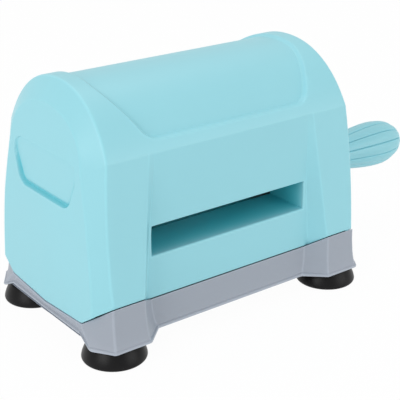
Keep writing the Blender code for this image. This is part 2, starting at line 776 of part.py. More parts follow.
def make_cups():
    """Four suction cups, each with a threaded stud through the deck and a nut on top of it."""
    top = DECK_UNDERSIDE - SEAT_GAP
    hole = STUD_RADIUS + PRESS_GAP
    bore_low = STUD_BURY - SEAT_GAP
    profile = [
        (hole, top),
        (CUP_NECK_RADIUS, top),
        (CUP_NECK_RADIUS, top * 0.86),
        (between(CUP_NECK_RADIUS, CUP_RADIUS, 0.32), top * 0.55),
        (between(CUP_NECK_RADIUS, CUP_RADIUS, 0.72), top * 0.23),
        (CUP_RADIUS, CUP_LIP),
        (CUP_RADIUS, 0),
        (CUP_RADIUS - CUP_LIP, 0),
        (CUP_RADIUS * 0.55, CUP_HOLLOW * 0.8),
        (0, CUP_HOLLOW),
    ]
    profile.insert(0, (0, bore_low))
    profile.insert(1, (hole, bore_low))
    for x, y in cup_places():
        place_at = (x, y, 0)
        turned(corner_name("suction_cup", x, y), profile, place_at, "black_rubber", steps=CUP_STEPS)
        name = corner_name("cup_stud", x, y)
        rod(name, STUD_RADIUS, STUD_BURY, STUD_TOP, place_at, "zinc_steel", steps=CUP_STEPS)
        bore = STUD_RADIUS + PRESS_GAP
        low = DECK_TOP + SEAT_GAP
        nut = [(bore, low + NUT_HEIGHT), (NUT_RADIUS, low + NUT_HEIGHT), (NUT_RADIUS, low), (bore, low)]
        hexagon_nut(corner_name("cup_nut", x, y), nut, place_at)


def hexagon_nut(name, section, place_at):
    """A six-sided nut whose round bore clears the stud."""
    (bore, high), (radius, _), (_, low), _ = section
    outside = [(radius * math.cos(math.pi / 3 * k), radius * math.sin(math.pi / 3 * k)) for k in range(6)]
    nut = lofted(name, [[(x, y, z) for x, y in outside] for z in (low, high)], "zinc_steel")
    nut.location = place_at
    cut(nut, rod(name + "_bore", bore, low - OVERRUN, high + OVERRUN, place_at, steps=CUP_STEPS))


def gear_distance():
    return TOOTH_MODULE * GEAR_TEETH


def nip_height():
    return (SLOT_FLOOR + SLOT_CEILING) / 2


def roller_height(side):
    """The height of the upper roller's axis for side 1, or the lower one's for side -1."""
    return nip_height() + side * gear_distance() / 2


def roller_radius():
    return (gear_distance() - NIP) / 2


def crank_height():
    reach = TOOTH_MODULE * (GEAR_TEETH + PINION_TEETH) / 2
    return roller_height(1) + math.sqrt(reach**2 - CRANK_OFFSET**2)


def crank_turn():
    """The direction from the upper roller's axis to the crank's, as an angle from +Y towards +Z."""
    return math.atan2(crank_height() - roller_height(1), CRANK_OFFSET)


def plate_outer_face():
    return PLATE_INNER_FACE + PLATE_THICKNESS


def gear_start():
    return plate_outer_face() + SEAT_GAP + BUSH_FLANGE_LENGTH + SEAT_GAP


def tooth_loop(teeth, phase):
    """The outline of a gear with involute flanks, one tooth's middle standing at the phase."""
    pitch = TOOTH_MODULE * teeth / 2
    pressure = PRESSURE_SHARE * 2 * math.pi
    base = pitch * math.cos(pressure)
    tip = pitch + TOOTH_MODULE * 0.96
    root = pitch - TOOTH_MODULE * 1.2
    half = (math.pi * TOOTH_MODULE / 2 - BACKLASH) / 2 / pitch

    def roll(radius):
        angle = math.acos(min(base / max(radius, base), 1))
        return math.tan(angle) - angle

    flank = []
    for radius in (root, between(base, pitch, 0.4), between(pitch, tip, 0.4), tip):
        flank.append((radius, half + roll(pitch) - roll(radius)))
    loop = []
    for tooth in range(teeth):
        middle = phase + 2 * math.pi * tooth / teeth
        turns = [(radius, middle - turn) for radius, turn in flank]
        turns += [(radius, middle + turn) for radius, turn in reversed(flank)]
        loop += [(radius * math.cos(turn), radius * math.sin(turn)) for radius, turn in turns]
    return loop


def meshed_phase(teeth, phase, direction, other_teeth):
    """The phase of another gear that meshes with this one, standing in this direction from it."""
    pitch = 2 * math.pi / teeth
    lead = (phase - direction + pitch / 2) % pitch - pitch / 2
    gap = direction + math.pi - lead * teeth / other_teeth
    return gap + math.pi / other_teeth


def make_gears():
    """The two equal roller gears and the crank's pinion, with their teeth in mesh."""
    middle = gear_start() + GEAR_WIDTH / 2
    bore = circle(SHAFT_RADIUS + PRESS_GAP)
    upper_phase = math.pi / 2
    lower_phase = meshed_phase(GEAR_TEETH, upper_phase, -math.pi / 2, GEAR_TEETH)
    pinion_phase = meshed_phase(GEAR_TEETH, upper_phase, crank_turn(), PINION_TEETH)
    places = (
        ("upper_gear", GEAR_TEETH, upper_phase, (middle, 0, roller_height(1))),
        ("lower_gear", GEAR_TEETH, lower_phase, (middle, 0, roller_height(-1))),
        ("crank_pinion", PINION_TEETH, pinion_phase, (middle, CRANK_OFFSET, crank_height())),
    )
    for name, teeth, phase, place_at in places:
        flat_piece(name, [tooth_loop(teeth, phase), bore], GEAR_WIDTH, place_at, "gear_nylon")


def boss_start():
    """Where the crank's boss begins inside the housing, past the pinion and the shaft's collar."""
    return gear_start() + GEAR_WIDTH + SEAT_GAP + COLLAR_LENGTH + SEAT_GAP


def clip_place():
    """How far from the middle the left clips stand."""
    return plate_outer_face() + SEAT_GAP + BUSH_FLANGE_LENGTH + SEAT_GAP


def make_rollers():
    """Both rollers with their journals, and the clips that hold them and the gears."""
    clip_right = gear_start() + GEAR_WIDTH + SEAT_GAP
    groove = SHAFT_RADIUS - CLIP_SEAT
    width = CLIP_THICKNESS + SEAT_GAP * 2
    for side, label in ((1, "upper"), (-1, "lower")):
        axis = (0, 0, roller_height(side))
        left = -clip_place()
        profile = [
            (0, clip_right + width * 2),
            (SHAFT_RADIUS, clip_right + width * 2),
            (SHAFT_RADIUS, clip_right + width),
            (groove, clip_right + width),
            (groove, clip_right),
            (SHAFT_RADIUS, clip_right),
            (SHAFT_RADIUS, ROLLER_HALF_LENGTH),
            (roller_radius(), ROLLER_HALF_LENGTH),
            (roller_radius(), -ROLLER_HALF_LENGTH),
            (SHAFT_RADIUS, -ROLLER_HALF_LENGTH),
            (SHAFT_RADIUS, left),
            (groove, left),
            (groove, left - width),
            (SHAFT_RADIUS, left - width),
            (SHAFT_RADIUS, left - width * 2),
            (0, left - width * 2),
        ]
        turned(label + "_roller", profile, axis, "roller_steel", along_x=True)
        for start, place_name in ((clip_right, "right"), (left - width, "left")):
            middle = start + width / 2
            name = label + "_clip_" + place_name
            outer = groove + CLIP_WIDTH
            loop = clip_loop(groove + PRESS_GAP, outer)
            flat_piece(name, [loop], CLIP_THICKNESS, (middle, 0, roller_height(side)), "zinc_steel")


def clip_loop(inner, outer):
    """An open ring, with its mouth upwards."""
    turns = [math.radians(120) + math.radians(300) * k / CLIP_STEPS for k in range(CLIP_STEPS + 1)]
    loop = [(outer * math.cos(turn), outer * math.sin(turn)) for turn in turns]
    return loop + [(inner * math.cos(turn), inner * math.sin(turn)) for turn in reversed(turns)]


def make_bush(name, start, flange_start, axis):
    """A flanged sleeve along X, from start to its flange, which begins at flange_start."""
    bore = SHAFT_RADIUS + JOURNAL_CLEARANCE
    outer = bore + BUSH_WALL
    flange = outer + BUSH_FLANGE
    side = 1 if flange_start > start else -1
    flange_end = flange_start + side * BUSH_FLANGE_LENGTH
    low, high = sorted((start, flange_end))
    first, second = (flange, outer) if side > 0 else (outer, flange)
    sides = [(first, high), (first, flange_start), (second, flange_start), (second, low)]
    profile = [(bore, high)] + sides + [(bore, low)]
    return turned(name, profile, axis, "bronze_bush", along_x=True, closed=True)


def tab_screw_places():
    x = plate_outer_face() + TAB_LENGTH * 0.58
    y = (TAB_NEAR + TAB_FAR) / 2
    return [(sx * x, sy * y) for sx in (-1, 1) for sy in (-1, 1)]


def plate_loop():
    """The side plate's outline, with its tabs' feet."""
    low = DECK_TOP + SEAT_GAP
    right = [
        (TAB_NEAR, low),
        (TAB_FAR, low),
        (PLATE_HALF_WIDTH, low + PLATE_THICKNESS * 2),
        (PLATE_HALF_WIDTH, PLATE_SHOULDER),
        (PLATE_TOP_HALF_WIDTH, PLATE_TOP),
    ]
    notch = low + PLATE_THICKNESS * 1.5
    left = [(-y, z) for y, z in reversed(right)]
    return [(TAB_NEAR, notch)] + right + left + [(-TAB_NEAR, notch)]


def make_frame():
    """Two steel side plates with bent tabs, three riveted tie bars and the bushes."""
    outer = plate_outer_face()
    bush_hole = SHAFT_RADIUS + JOURNAL_CLEARANCE + BUSH_WALL + PRESS_GAP
    neck_hole = TIE_NECK_RADIUS + PRESS_GAP
    ties = (
        ("tie_bar_front", -TIE_LOW_DEPTH, TIE_LOW_HEIGHT),
        ("tie_bar_rear", TIE_LOW_DEPTH, TIE_LOW_HEIGHT),
        ("tie_bar_top", -TIE_TOP_OFFSET, TIE_TOP_HEIGHT),
    )
    for side, label in ((-1, "left"), (1, "right")):
        loops = [plate_loop()]
        for end in (1, -1):
            loops.append(circle(bush_hole, z=roller_height(end)))
        for _, y, z in ties:
            loops.append(circle(neck_hole, SMALL_STEPS, y, z))
        if side > 0:
            loops.append(circle(bush_hole, y=CRANK_OFFSET, z=crank_height()))
        middle = side * (PLATE_INNER_FACE + PLATE_THICKNESS / 2)
        name = "side_plate_" + label
        plate = flat_piece(name, loops, PLATE_THICKNESS, (middle, 0, 0), "zinc_steel")
        low = DECK_TOP + SEAT_GAP
        for end, end_label in ((-1, "front"), (1, "rear")):
            left, right = sorted((middle, side * (outer + TAB_LENGTH)))
            near, far = sorted((end * TAB_NEAR, end * TAB_FAR))
            high = low + PLATE_THICKNESS
            tab = box("tab_" + label + "_" + end_label, (left, near, low), (right, far, high))
            join(plate, tab)
        for x, y in tab_screw_places():
            if x * side > 0:
                name_of_hole = corner_name("tab_screw_hole", x, y)
                radius = SCREW_RADIUS + SCREW_CLEARANCE
                cut(plate, rod(name_of_hole, radius, 0, low + OVERRUN, (x, y, 0), steps=SMALL_STEPS))
        for end, end_label in ((1, "upper"), (-1, "lower")):
            axis = (0, 0, roller_height(end))
            inner = side * (PLATE_INNER_FACE - SEAT_GAP)
            flange = side * (outer + SEAT_GAP)
            make_bush(end_label + "_bush_" + label, inner, flange, axis)
    crank_axis = (0, CRANK_OFFSET, crank_height())
    make_bush("crank_bush_inner", PLATE_INNER_FACE - SEAT_GAP, outer + SEAT_GAP, crank_axis)
    make_bush("crank_bush_outer", boss_start(), BOSS_FACE + SEAT_GAP, crank_axis)
    head = outer + SEAT_GAP + TIE_HEAD_LENGTH
    shoulder = PLATE_INNER_FACE - SEAT_GAP
    seat = outer + SEAT_GAP
    for name, y, z in ties:
        profile = [
            (0, head),
            (TIE_RADIUS, head),
            (TIE_RADIUS, seat),
            (TIE_NECK_RADIUS, seat),
            (TIE_NECK_RADIUS, shoulder),
            (TIE_RADIUS, shoulder),
            (TIE_RADIUS, -shoulder),
            (TIE_NECK_RADIUS, -shoulder),
            (TIE_NECK_RADIUS, -seat),
            (TIE_RADIUS, -seat),
            (TIE_RADIUS, -head),
            (0, -head),
        ]
        turned(name, profile, (0, y, z), "zinc_steel", along_x=True, steps=SMALL_STEPS)


def make_screw(name, length, seat, place_at, upward):
    """A socket screw whose head bears at the seat and whose shank runs up or down from it."""
    side = 1 if upward else -1
    ends = [
        (0, seat - side * SCREW_HEAD_HEIGHT),
        (SCREW_HEAD_RADIUS, seat - side * SCREW_HEAD_HEIGHT),
        (SCREW_HEAD_RADIUS, seat),
        (SCREW_RADIUS, seat),
        (SCREW_RADIUS, seat + side * length),
        (0, seat + side * length),
    ]
    profile = list(reversed(ends)) if upward else ends
    screw = turned(name, profile, place_at, "zinc_steel", steps=SMALL_STEPS)
    face = seat - side * SCREW_HEAD_HEIGHT
    low, high = sorted((face + side * SCREW_SOCKET_DEPTH, face - side * OVERRUN))
    cut(screw, rod(name + "_socket", SCREW_SOCKET_RADIUS, low, high, place_at, steps=6))


def make_screws():
    """The screws that hold the side plates to the deck and the housing to the base."""
    for x, y in tab_screw_places():
        seat = DECK_TOP + PLATE_THICKNESS + SEAT_GAP * 2
        make_screw(corner_name("frame_screw", x, y), TAB_SCREW_LENGTH - SEAT_GAP, seat, (x, y, 0), False)
    for x, y in housing_screw_places():
        seat = BOSS_SEAT - SEAT_GAP
        make_screw(corner_name("housing_screw", x, y), HOUSING_SCREW_LENGTH, seat, (x, y, 0), True)


def hub_start():
    return BOSS_FACE + SEAT_GAP + BUSH_FLANGE_LENGTH + SEAT_GAP


def make_crank_shaft():
    """The crank's shaft, with a collar behind the pinion and a flat for the arm."""
    axis = (0, CRANK_OFFSET, crank_height())
    collar = boss_start() - SEAT_GAP
    end = hub_start() + ARM_THICKNESS - SEAT_GAP
    start = PLATE_INNER_FACE - SEAT_GAP
    tap = SCREW_RADIUS + PRESS_GAP
    profile = [
        (0, end - HOUSING_SCREW_LENGTH),
        (tap, end - HOUSING_SCREW_LENGTH),
        (tap, end),
        (SHAFT_RADIUS, end),
        (SHAFT_RADIUS, collar),
        (COLLAR_RADIUS, collar),
        (COLLAR_RADIUS, collar - COLLAR_LENGTH),
        (SHAFT_RADIUS, collar - COLLAR_LENGTH),
        (SHAFT_RADIUS, start),
        (0, start),
    ]
    shaft = turned("crank_shaft", profile, axis, "roller_steel", along_x=True)
    flat = box(
        "shaft_flat",
        (hub_start() - SEAT_GAP, CRANK_OFFSET - OVERRUN, crank_height() + SHAFT_FLAT),
        (end + OVERRUN, CRANK_OFFSET + OVERRUN, crank_height() + OVERRUN),
    )
    cut(shaft, flat)


def flat_bore():
    """The hole of the arm's hub, round with one flat."""
    radius = SHAFT_RADIUS + PRESS_GAP
    flat = SHAFT_FLAT + PRESS_GAP
    half = math.acos(flat / radius)
    turns = [math.pi / 2 + half + (2 * math.pi - 2 * half) * k / ROUND_STEPS for k in range(ROUND_STEPS + 1)]
    return [(radius * math.cos(turn), radius * math.sin(turn)) for turn in turns]


def make_arm():
    """The crank's arm, hanging straight down, with its hub screw and the grip's pin."""
    slope = math.asin((ARM_HUB_RADIUS - ARM_END_RADIUS) / ARM_LENGTH)
    hub = [(-slope + (math.pi + 2 * slope) * k / SMALL_STEPS) for k in range(SMALL_STEPS + 1)]
    loop = [(ARM_HUB_RADIUS * math.cos(turn), ARM_HUB_RADIUS * math.sin(turn)) for turn in hub]
    foot = [math.pi + slope + (math.pi - 2 * slope) * k / SMALL_STEPS for k in range(SMALL_STEPS + 1)]
    for turn in foot:
        loop.append((ARM_END_RADIUS * math.cos(turn), ARM_END_RADIUS * math.sin(turn) - ARM_LENGTH))
    middle = hub_start() + ARM_THICKNESS / 2
    place_at = (middle, CRANK_OFFSET, crank_height())
    arm = flat_piece("crank_arm", [loop], ARM_THICKNESS, place_at, "teal_plastic")
    soften(arm, ARM_EDGE)
    reach = ARM_THICKNESS + OVERRUN
    hole = flat_piece("arm_hole", [flat_bore()], reach, place_at)
    pin_place = (middle, CRANK_OFFSET, crank_height() - ARM_LENGTH)
    pin_hole = rod("arm_pin_hole", PIN_RADIUS + PRESS_GAP, -reach / 2, reach / 2, pin_place, along_x=True)
    cut_together(arm, "arm_holes", [hole, pin_hole])
    face = hub_start() + ARM_THICKNESS
    shank = HOUSING_SCREW_LENGTH - SEAT_GAP * 3
    ends = [
        (0, face + SEAT_GAP + SCREW_HEAD_HEIGHT),
        (ARM_HUB_RADIUS * 0.55, face + SEAT_GAP + SCREW_HEAD_HEIGHT),
        (ARM_HUB_RADIUS * 0.60, face + SEAT_GAP + SCREW_HEAD_HEIGHT * 0.7),
        (ARM_HUB_RADIUS * 0.60, face + SEAT_GAP),
        (SCREW_RADIUS, face + SEAT_GAP),
        (SCREW_RADIUS, face - shank),
        (0, face - shank),
    ]
    screw = turned("crank_screw", ends, (0, CRANK_OFFSET, crank_height()), "zinc_steel", along_x=True)
    socket = rod(
        "crank_screw_socket",
        SCREW_SOCKET_RADIUS * 2,
        face + SCREW_HEAD_HEIGHT - SCREW_SOCKET_DEPTH,
        face + OVERRUN,
        (0, CRANK_OFFSET, crank_height()),
        along_x=True,
        steps=6,
    )
    cut(screw, socket)


def grip_start():
    return hub_start() + ARM_THICKNESS + SEAT_GAP * 2


def grip_radius(share):
    """The grip's radius a share of the way along it, before its rounded end."""
    swell = math.sin(math.pi * min(share / 0.9, 1)) ** 0.8
    return between(GRIP_START_RADIUS, GRIP_RADIUS, swell) if share < 0.45 else GRIP_RADIUS


def grip_ring(x, radius, depth):
    """One ring of the grip, square to X, with a narrow groove at each division."""
    shares = ((0, 1), (0.16, 0), (0.5, 0), (0.84, 0))
    ring = []
    for groove in range(GRIP_GROOVES):
        for share, deep in shares:
            turn = 2 * math.pi * (groove + share) / GRIP_GROOVES
            length = radius - depth * deep
            ring.append((x, length * math.cos(turn), length * math.sin(turn)))
    return ring


def make_grip():
    """The grip, fluted lengthwise and rounded at its end, turning freely on a pin fixed in the arm."""
    place_at = (0, CRANK_OFFSET, crank_height() - ARM_LENGTH)
    start = grip_start()
    end = start + GRIP_LENGTH
    rings = [grip_ring(start, GRIP_START_RADIUS - GRIP_MOUTH, 0)]
    straight = GRIP_LENGTH - GRIP_ROUND_LENGTH
    for share in (0.03, 0.35, 0.7, 1):
        x = start + straight * share
        rings.append(grip_ring(x, grip_radius(share * straight / GRIP_LENGTH), GRIP_GROOVE))
    for turn in (22, 42, 60, 74, 85):
        angle = math.radians(turn)
        x = end - GRIP_ROUND_LENGTH * (1 - math.sin(angle))
        rings.append(grip_ring(x, GRIP_RADIUS * math.cos(angle) ** 0.8, GRIP_GROOVE * math.cos(angle)))
    grip = lofted("grip", rings, "teal_plastic")
    grip.location = place_at
    bore = PIN_RADIUS + JOURNAL_CLEARANCE
    tip = start + PIN_LENGTH
    ring = PIN_RADIUS + PIN_RING
    seat = tip - PIN_RADIUS * 2
    groove = [
        (0, tip + SEAT_GAP * 2),
        (bore, tip + SEAT_GAP * 2),
        (bore, seat + PIN_RADIUS + SEAT_GAP),
        (ring + JOURNAL_CLEARANCE, seat + PIN_RADIUS + SEAT_GAP),
        (ring + JOURNAL_CLEARANCE, seat - SEAT_GAP),
        (bore, seat - SEAT_GAP),
        (bore, start - OVERRUN),
        (0, start - OVERRUN),
    ]
    cut(grip, turned("grip_bore", groove, place_at, along_x=True))
    profile = [
        (0, tip),
        (PIN_RADIUS, tip),
        (PIN_RADIUS, seat + PIN_RADIUS),
        (ring, seat + PIN_RADIUS),
        (ring, seat),
        (PIN_RADIUS, seat),
        (PIN_RADIUS, start - SEAT_GAP * 2 - PIN_BURY),
        (0, start - SEAT_GAP * 2 - PIN_BURY),
    ]
    turned("grip_pin", profile, place_at, "roller_steel", along_x=True)


def main():
    clear_scene()
    make_housing()
    make_base()
    make_cups()
    make_frame()
    make_rollers()
    make_gears()
    make_screws()
    make_crank_shaft()
    make_arm()
    make_grip()


main()
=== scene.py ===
"""Dresses the hand-cranked die cutting machine: housing, base, cups, crank, grip and finishes.

Lengths are in metres. The front faces -Y, the crank is at +X and +Z is up from the table.
"""

import math

import bmesh
import bpy
import numpy as np
from bpy.props import FloatProperty, FloatVectorProperty, PointerProperty
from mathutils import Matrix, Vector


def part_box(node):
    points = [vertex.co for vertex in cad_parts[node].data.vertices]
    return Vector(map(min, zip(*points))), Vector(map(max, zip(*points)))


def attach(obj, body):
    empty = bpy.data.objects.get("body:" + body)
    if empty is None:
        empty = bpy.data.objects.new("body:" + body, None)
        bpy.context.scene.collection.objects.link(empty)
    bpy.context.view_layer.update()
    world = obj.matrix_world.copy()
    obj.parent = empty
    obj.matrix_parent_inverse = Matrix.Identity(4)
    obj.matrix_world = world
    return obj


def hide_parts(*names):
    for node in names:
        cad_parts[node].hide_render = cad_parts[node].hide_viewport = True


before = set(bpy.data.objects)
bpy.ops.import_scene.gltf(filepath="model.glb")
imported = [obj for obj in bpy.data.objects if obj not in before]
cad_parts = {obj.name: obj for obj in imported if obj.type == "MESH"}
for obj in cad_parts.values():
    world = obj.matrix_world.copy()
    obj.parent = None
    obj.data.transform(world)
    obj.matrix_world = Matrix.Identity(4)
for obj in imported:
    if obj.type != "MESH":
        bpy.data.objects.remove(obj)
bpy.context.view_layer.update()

bl_info = {
    "name": "Die cutting machine",
    "version": (1, 0, 0),
    "blender": (4, 5, 0),
    "location": "View3D > Sidebar > Die cutter",
    "description": "Builds the moulded skins and finishes of a hand-cranked die cutting machine",
    "category": "Object",
}

# Factors that reflect a point from left to right, and from front to rear
LEFT_TO_RIGHT = np.array([-1, 1, 1])
FRONT_TO_REAR = np.array([1, -1, 1])

# Seam between housing and base
SEAM_HEIGHT = 0.0166
SEAM_FLAT = 0.0283
SEAM_SLOPE = 0.70
SEAM_GAP = 0.0003
SEAM_DIP = 0.0017

# Housing end faces, as heights with the reach from the middle and half the depth there
END_HEIGHTS = (0.0220, 0.0530, 0.0790, 0.0996)
END_REACHES = (0.0699, 0.0690, 0.0673, 0.0650)
END_DEPTHS = (0.0360, 0.0333, 0.0276)
END_POWER = 2.1
RIDGE_RISE = 0.0004
RIDGE_FOOT = 0.0084
KNEE_SHARE = 0.35
KNEE_RADIUS = 0.0015

# How much of a span between two rails a rounded corner may take
LONGEST_ROUND = 0.45

# Wall of the mouldings, and the housing's bottom edge
WALL = 0.0024
WALL_INSIDE_HEIGHT = 0.0040
LEDGE_ROUND = 0.0004

# Corner line between the chamfers and the front, as heights with the reach from the middle
CORNER_HEIGHTS = (0.0266, 0.0380, 0.0500, 0.0620, 0.0730, 0.0839)
CORNER_REACHES = (0.0637, 0.0639, 0.0639, 0.0634, 0.0625, 0.0614)
CORNER_TOP_REACH = 0.0594
CORNER_LEAN_POWER = 0.8

# Front face, slot and pilasters
FLARE_HEIGHT = 0.0266
FLARE_DEPTH = 0.0424
RECESS_DEPTH = 0.0352
PILASTER_HEIGHTS = (0.0270, 0.0800)
PILASTER_INNERS = (0.0433, 0.0396)
PILASTER_OUTERS = (0.0488, 0.0427)
PILASTER_ROUND_SHARE = 0.7
SLOT_HALF_LENGTH = 0.0403
SLOT_FLOOR = 0.0399
SLOT_CEILING = 0.0526
SLOT_LIP = 0.0008
SLOT_RAIL_GAP = 0.0006
THROAT_END = 0.0127
THROAT_DEPTHS = (0.0014, 0.0022, 0.0032, 0.0045, 0.0065, 0.0090, 0.0130)
THROAT_END_ROUND = 0.0003
THROAT_END_STEPS = (0.0002, 0.0006)
THROAT_OUTSIDE_DEPTH = 0.0030
THROAT_WALL = 0.0014
THROAT_SHADE = 0.0030

# Dome
CREASE_HEIGHT = 0.0839
ARCH_FOOT = 0.0600
ARCH_DEPTH = 0.0415
ARCH_POWER = 2.15

# Panel in the dome, with the rails that run beside its outline
PANEL_LOW_HEIGHT = 0.0881
PANEL_TOP_HEIGHT = 0.1072
PANEL_LOW_HALF = 0.0406
PANEL_TOP_HALF = 0.0525
PANEL_SPREAD = 1.1
PANEL_SIDE_SLANT = 0.82
PANEL_CORNER = 0.0045
PANEL_BEVEL = 0.0018
PANEL_LOW_BEVEL = 0.0028
PANEL_BEVEL_CHANGE = 0.0050
PANEL_TOP_SHARE = 0.5
# Painted highlight along the panel's rim: its strength, its width, and how far above the panel's lower edge
# it reaches
PANEL_RIM_HIGHLIGHT = 0.5
PANEL_RIM_HIGHLIGHT_WIDTH = 0.0006
PANEL_RIM_HIGHLIGHT_REACH = 0.0120
PANEL_RAIL_OUTSIDE = 0.0003
PANEL_RAIL_INSIDE = 0.0019
PANEL_RAIL_FLAT = 0.0045

# Hand-hold in the left end, with the half width of its outline at three heights
HOLD_LOW_HEIGHT = 0.0612
HOLD_TOP_HEIGHT = 0.0813
HOLD_WIDE_HEIGHT = 0.0760
HOLD_LOW_HALF = 0.0190
HOLD_WIDE_HALF = 0.0253
HOLD_TOP_HALF = 0.0223
HOLD_FACE = -0.0640
HOLD_CORNER = 0.0040
HOLD_BEVEL = 0.0005
HOLD_TOP_DEPTH = 0.0006
HOLD_GROOVE_PLACE = 0.0009
HOLD_GROOVE_WIDTH = 0.0008
# Painted highlight along the hand-hold's rim and painted shade inside it: strengths and widths
HOLD_RIM_HIGHLIGHT = 0.3
HOLD_RIM_HIGHLIGHT_WIDTH = 0.0003
HOLD_SHADE = 0.6
HOLD_RAIL_SHARE = 0.80
HOLD_RAIL_LIMIT = 0.0270
HOLD_RAIL_GAP = 0.0030

# Strength of the hand-hold's groove and shade at its lower edge, and what each loses up to its top
HOLD_GROOVE_FADE = (1.3, 1.5)
HOLD_SHADE_FADE = (1.6, 1.7)

# Rows of the housing's skin: those that settle on the seam, and where the front's rows start to spread
BAND_ROWS = 7
HOUSING_SETTLE_ROUNDS = 6
SPREAD_FOOT = 0.0530

# Heights of those rows below the crease: round the slot, over it, near the hand-hold's lower edge in
# tenths of a millimetre from it, and across the hand-hold as (first, end, step)
SLOT_ROWS = (0.0360, 0.0375, SLOT_FLOOR - SLOT_LIP, 0.0430, 0.0462, 0.0495, SLOT_CEILING + SLOT_LIP)
OVER_SLOT_ROWS = (0.0560, 0.0575)
HOLD_EDGE_ROWS = (-30, -15, -5, 0, 1, 2, 3, 4, 5, 6, 8, 10)
HOLD_ROWS = ((0.0624, 0.0655, 0.00025), (0.0665, 0.0735, 0.0010), (0.0738, 0.0790, 0.0004))

# Those over the dome, as shares of the way up: how many even ones, from where to where and how many at
# the panel's lower edge, and how many ten thousandths below the hand-hold's top
DOME_ROWS = 52
PANEL_EDGE_ROWS = (-0.012, 0.075, 24)
HOLD_TOP_ROWS = (0, 25, 50, 75, 100, 125, 150, 180, 210)

# Columns between the housing's rails, from the end's ridge to the middle of the front
RAIL_SPANS = (7, 12, 3, 3, 6, 7, 8, 7, 6)

# How strongly each rail's rounded corner gets a painted highlight, below and above the crease
EDGE_HIGHLIGHT_BELOW = (0, 0, 0, 0, 0.3, 0.8, 0.6, 0.3, 0, 0)
EDGE_HIGHLIGHT_ABOVE = (0, 0, 0, 0, 0.3, 0.8, 0, 0, 0, 0)

# Crank boss on the right end
BOSS_ROOT_REACH = 0.0640
BOSS_FILLET_REACH = 0.0657
BOSS_FACE = 0.0706
BOSS_RADIUS = 0.0090
BOSS_FILLET = 0.0014
BOSS_ROUND = 0.0008
BOSS_ROOT_RADIUS = 0.0106
BOSS_BORE_RADIUS = 0.0060
BOSS_BORE_STEPS = ((0.0002, 0), (0, -0.0003), (0, -0.0050))

# Base
BASE_BOTTOM = 0.0077
DECK_UNDERSIDE = 0.0112
FLARE_POWER = 2.6
RECESS_RIM_HEIGHT = 0.0215
END_ARCH_SHARES = (0, 0.854, 0.973, 1)

# Lines of the base: distance from the middle at the foot and at the rim, height of the rim there,
# power of the flare, and how much of the profile's inset the line takes
BASE_LINES = {
    "middle_x": (0.0719, 0.0707, SEAM_HEIGHT, 1, 1),
    "end_x": (0.0717, 0.0703, SEAM_HEIGHT, 1, 1),
    "end_y": (0.0369, 0.0283, SEAM_HEIGHT, 1, 0.25),
    "corner_x": (0.0655, 0.0643, FLARE_HEIGHT, FLARE_POWER, 0.64),
    "corner_y": (0.0460, 0.0429, FLARE_HEIGHT, FLARE_POWER, 1),
    "pilaster_x": (0.0478, 0.0491, FLARE_HEIGHT, FLARE_POWER, -0.5),
    "recess_x": (0.0388, 0.0415, RECESS_RIM_HEIGHT, FLARE_POWER, -0.5),
    "recess_y": (0.0380, 0.0356, RECESS_RIM_HEIGHT, FLARE_POWER, 1),
}

# Base's bead, rounded edges, rows and underside
BEAD_RISE = 0.0005
BEAD_HEIGHTS = (0.0002, 0.0004, 0.0006)
RIM_ROUND = 0.0004
ARCH_ROUND = 0.0004
BASE_ROUND_SHARE = 0.8
FOOT_INSIDE_RISE = 0.0005
FOOT_INSIDE_ROUND = 0.0004
RIM_INSIDE_DROP = 0.0030
BASE_WALL_ROWS = (0.06, 0.94, 12)
BASE_SPANS = (6, 2, 2, 4, 4, 4)
BASE_SETTLE_ROUNDS = 5
# Strength of the painted highlight on the base's rounded corners
CORNER_HIGHLIGHT = 0.4
SCREW_SEAT_RADIUS = 0.0047
SAME_HEIGHT = 2e-5

# Suction cups
CUP_REACH = 0.0580
CUP_DEPTH = 0.0328
CUP_NECK_RADIUS = 0.0086
CUP_NECK_TOP = 0.0109
CUP_NECK_BEVEL = (0.0003, 0.0005)
CUP_SHOULDER_HEIGHT = 0.0092
CUP_RIM_HEIGHT = 0.0009
CUP_LIP_ROUND = 0.0006
CUP_HOLLOW_INSET = 0.0011
CUP_HOLLOW_HEIGHT = 0.0036
CUP_POWER = 1.35
CUP_HOLLOW_ROWS = 9
CUP_SIDE_ROWS = 18

# Grip
GRIP_LENGTH = 0.0630
GRIP_START_RADIUS = 0.0077
GRIP_MOUTH_ROUND = 0.0012
GRIP_BORE_RADIUS = 0.0031
GRIP_BORE_STEPS = ((0, 0.0050), (0, 0.0002), (0.0003, 0))
GRIP_SWELL_LENGTH = 0.0360
GRIP_ROUND_LENGTH = 0.0173
GRIP_CAP_POWER = 0.88
GRIP_GROOVES = 12
GRIP_GROOVE_TURN = math.radians(11)
GRIP_GROOVE_WIDTH = math.radians(1.5)
GRIP_LAND_EDGE = math.radians(2.6)
GRIP_LAND_EDGE_WIDTH = math.radians(0.9)
GRIP_CROWN = 0.00022
GRIP_FADE_TURNS = (0.75, 1.30)
GRIP_BODY_ROWS = 34
GRIP_CAP_ROWS = 30

# Turns in degrees of a grip's points from one groove to the next, close together in the groove
GRIP_TURNS = (0, 0.5, 1.0, 1.6, 2.4, 3.6, 5.5, 8.5, 12, 15, 18, 21.5, 24.5, 26.4, 27.6, 28.4, 29.0, 29.5)

# Crank arm, with its profile as (inset, drop): a rounded edge, then a shallow dish
ARM_HUB_RADIUS = 0.0095
ARM_END_RADIUS = 0.0080
ARM_ROUND = 0.0012
ARM_MIDDLE_INSET = 0.0080
ARM_LEAST_HUB = 0.0015
ARM_HUB_STEPS = 40
ARM_END_STEPS = 36
ARM_DISH = (
    (0.0022, 0.0), (0.0025, 0.0001), (0.0030, 0.0006), (0.0034, 0.0007), (0.0060, 0.0007),
    (ARM_MIDDLE_INSET, 0.0007),
)

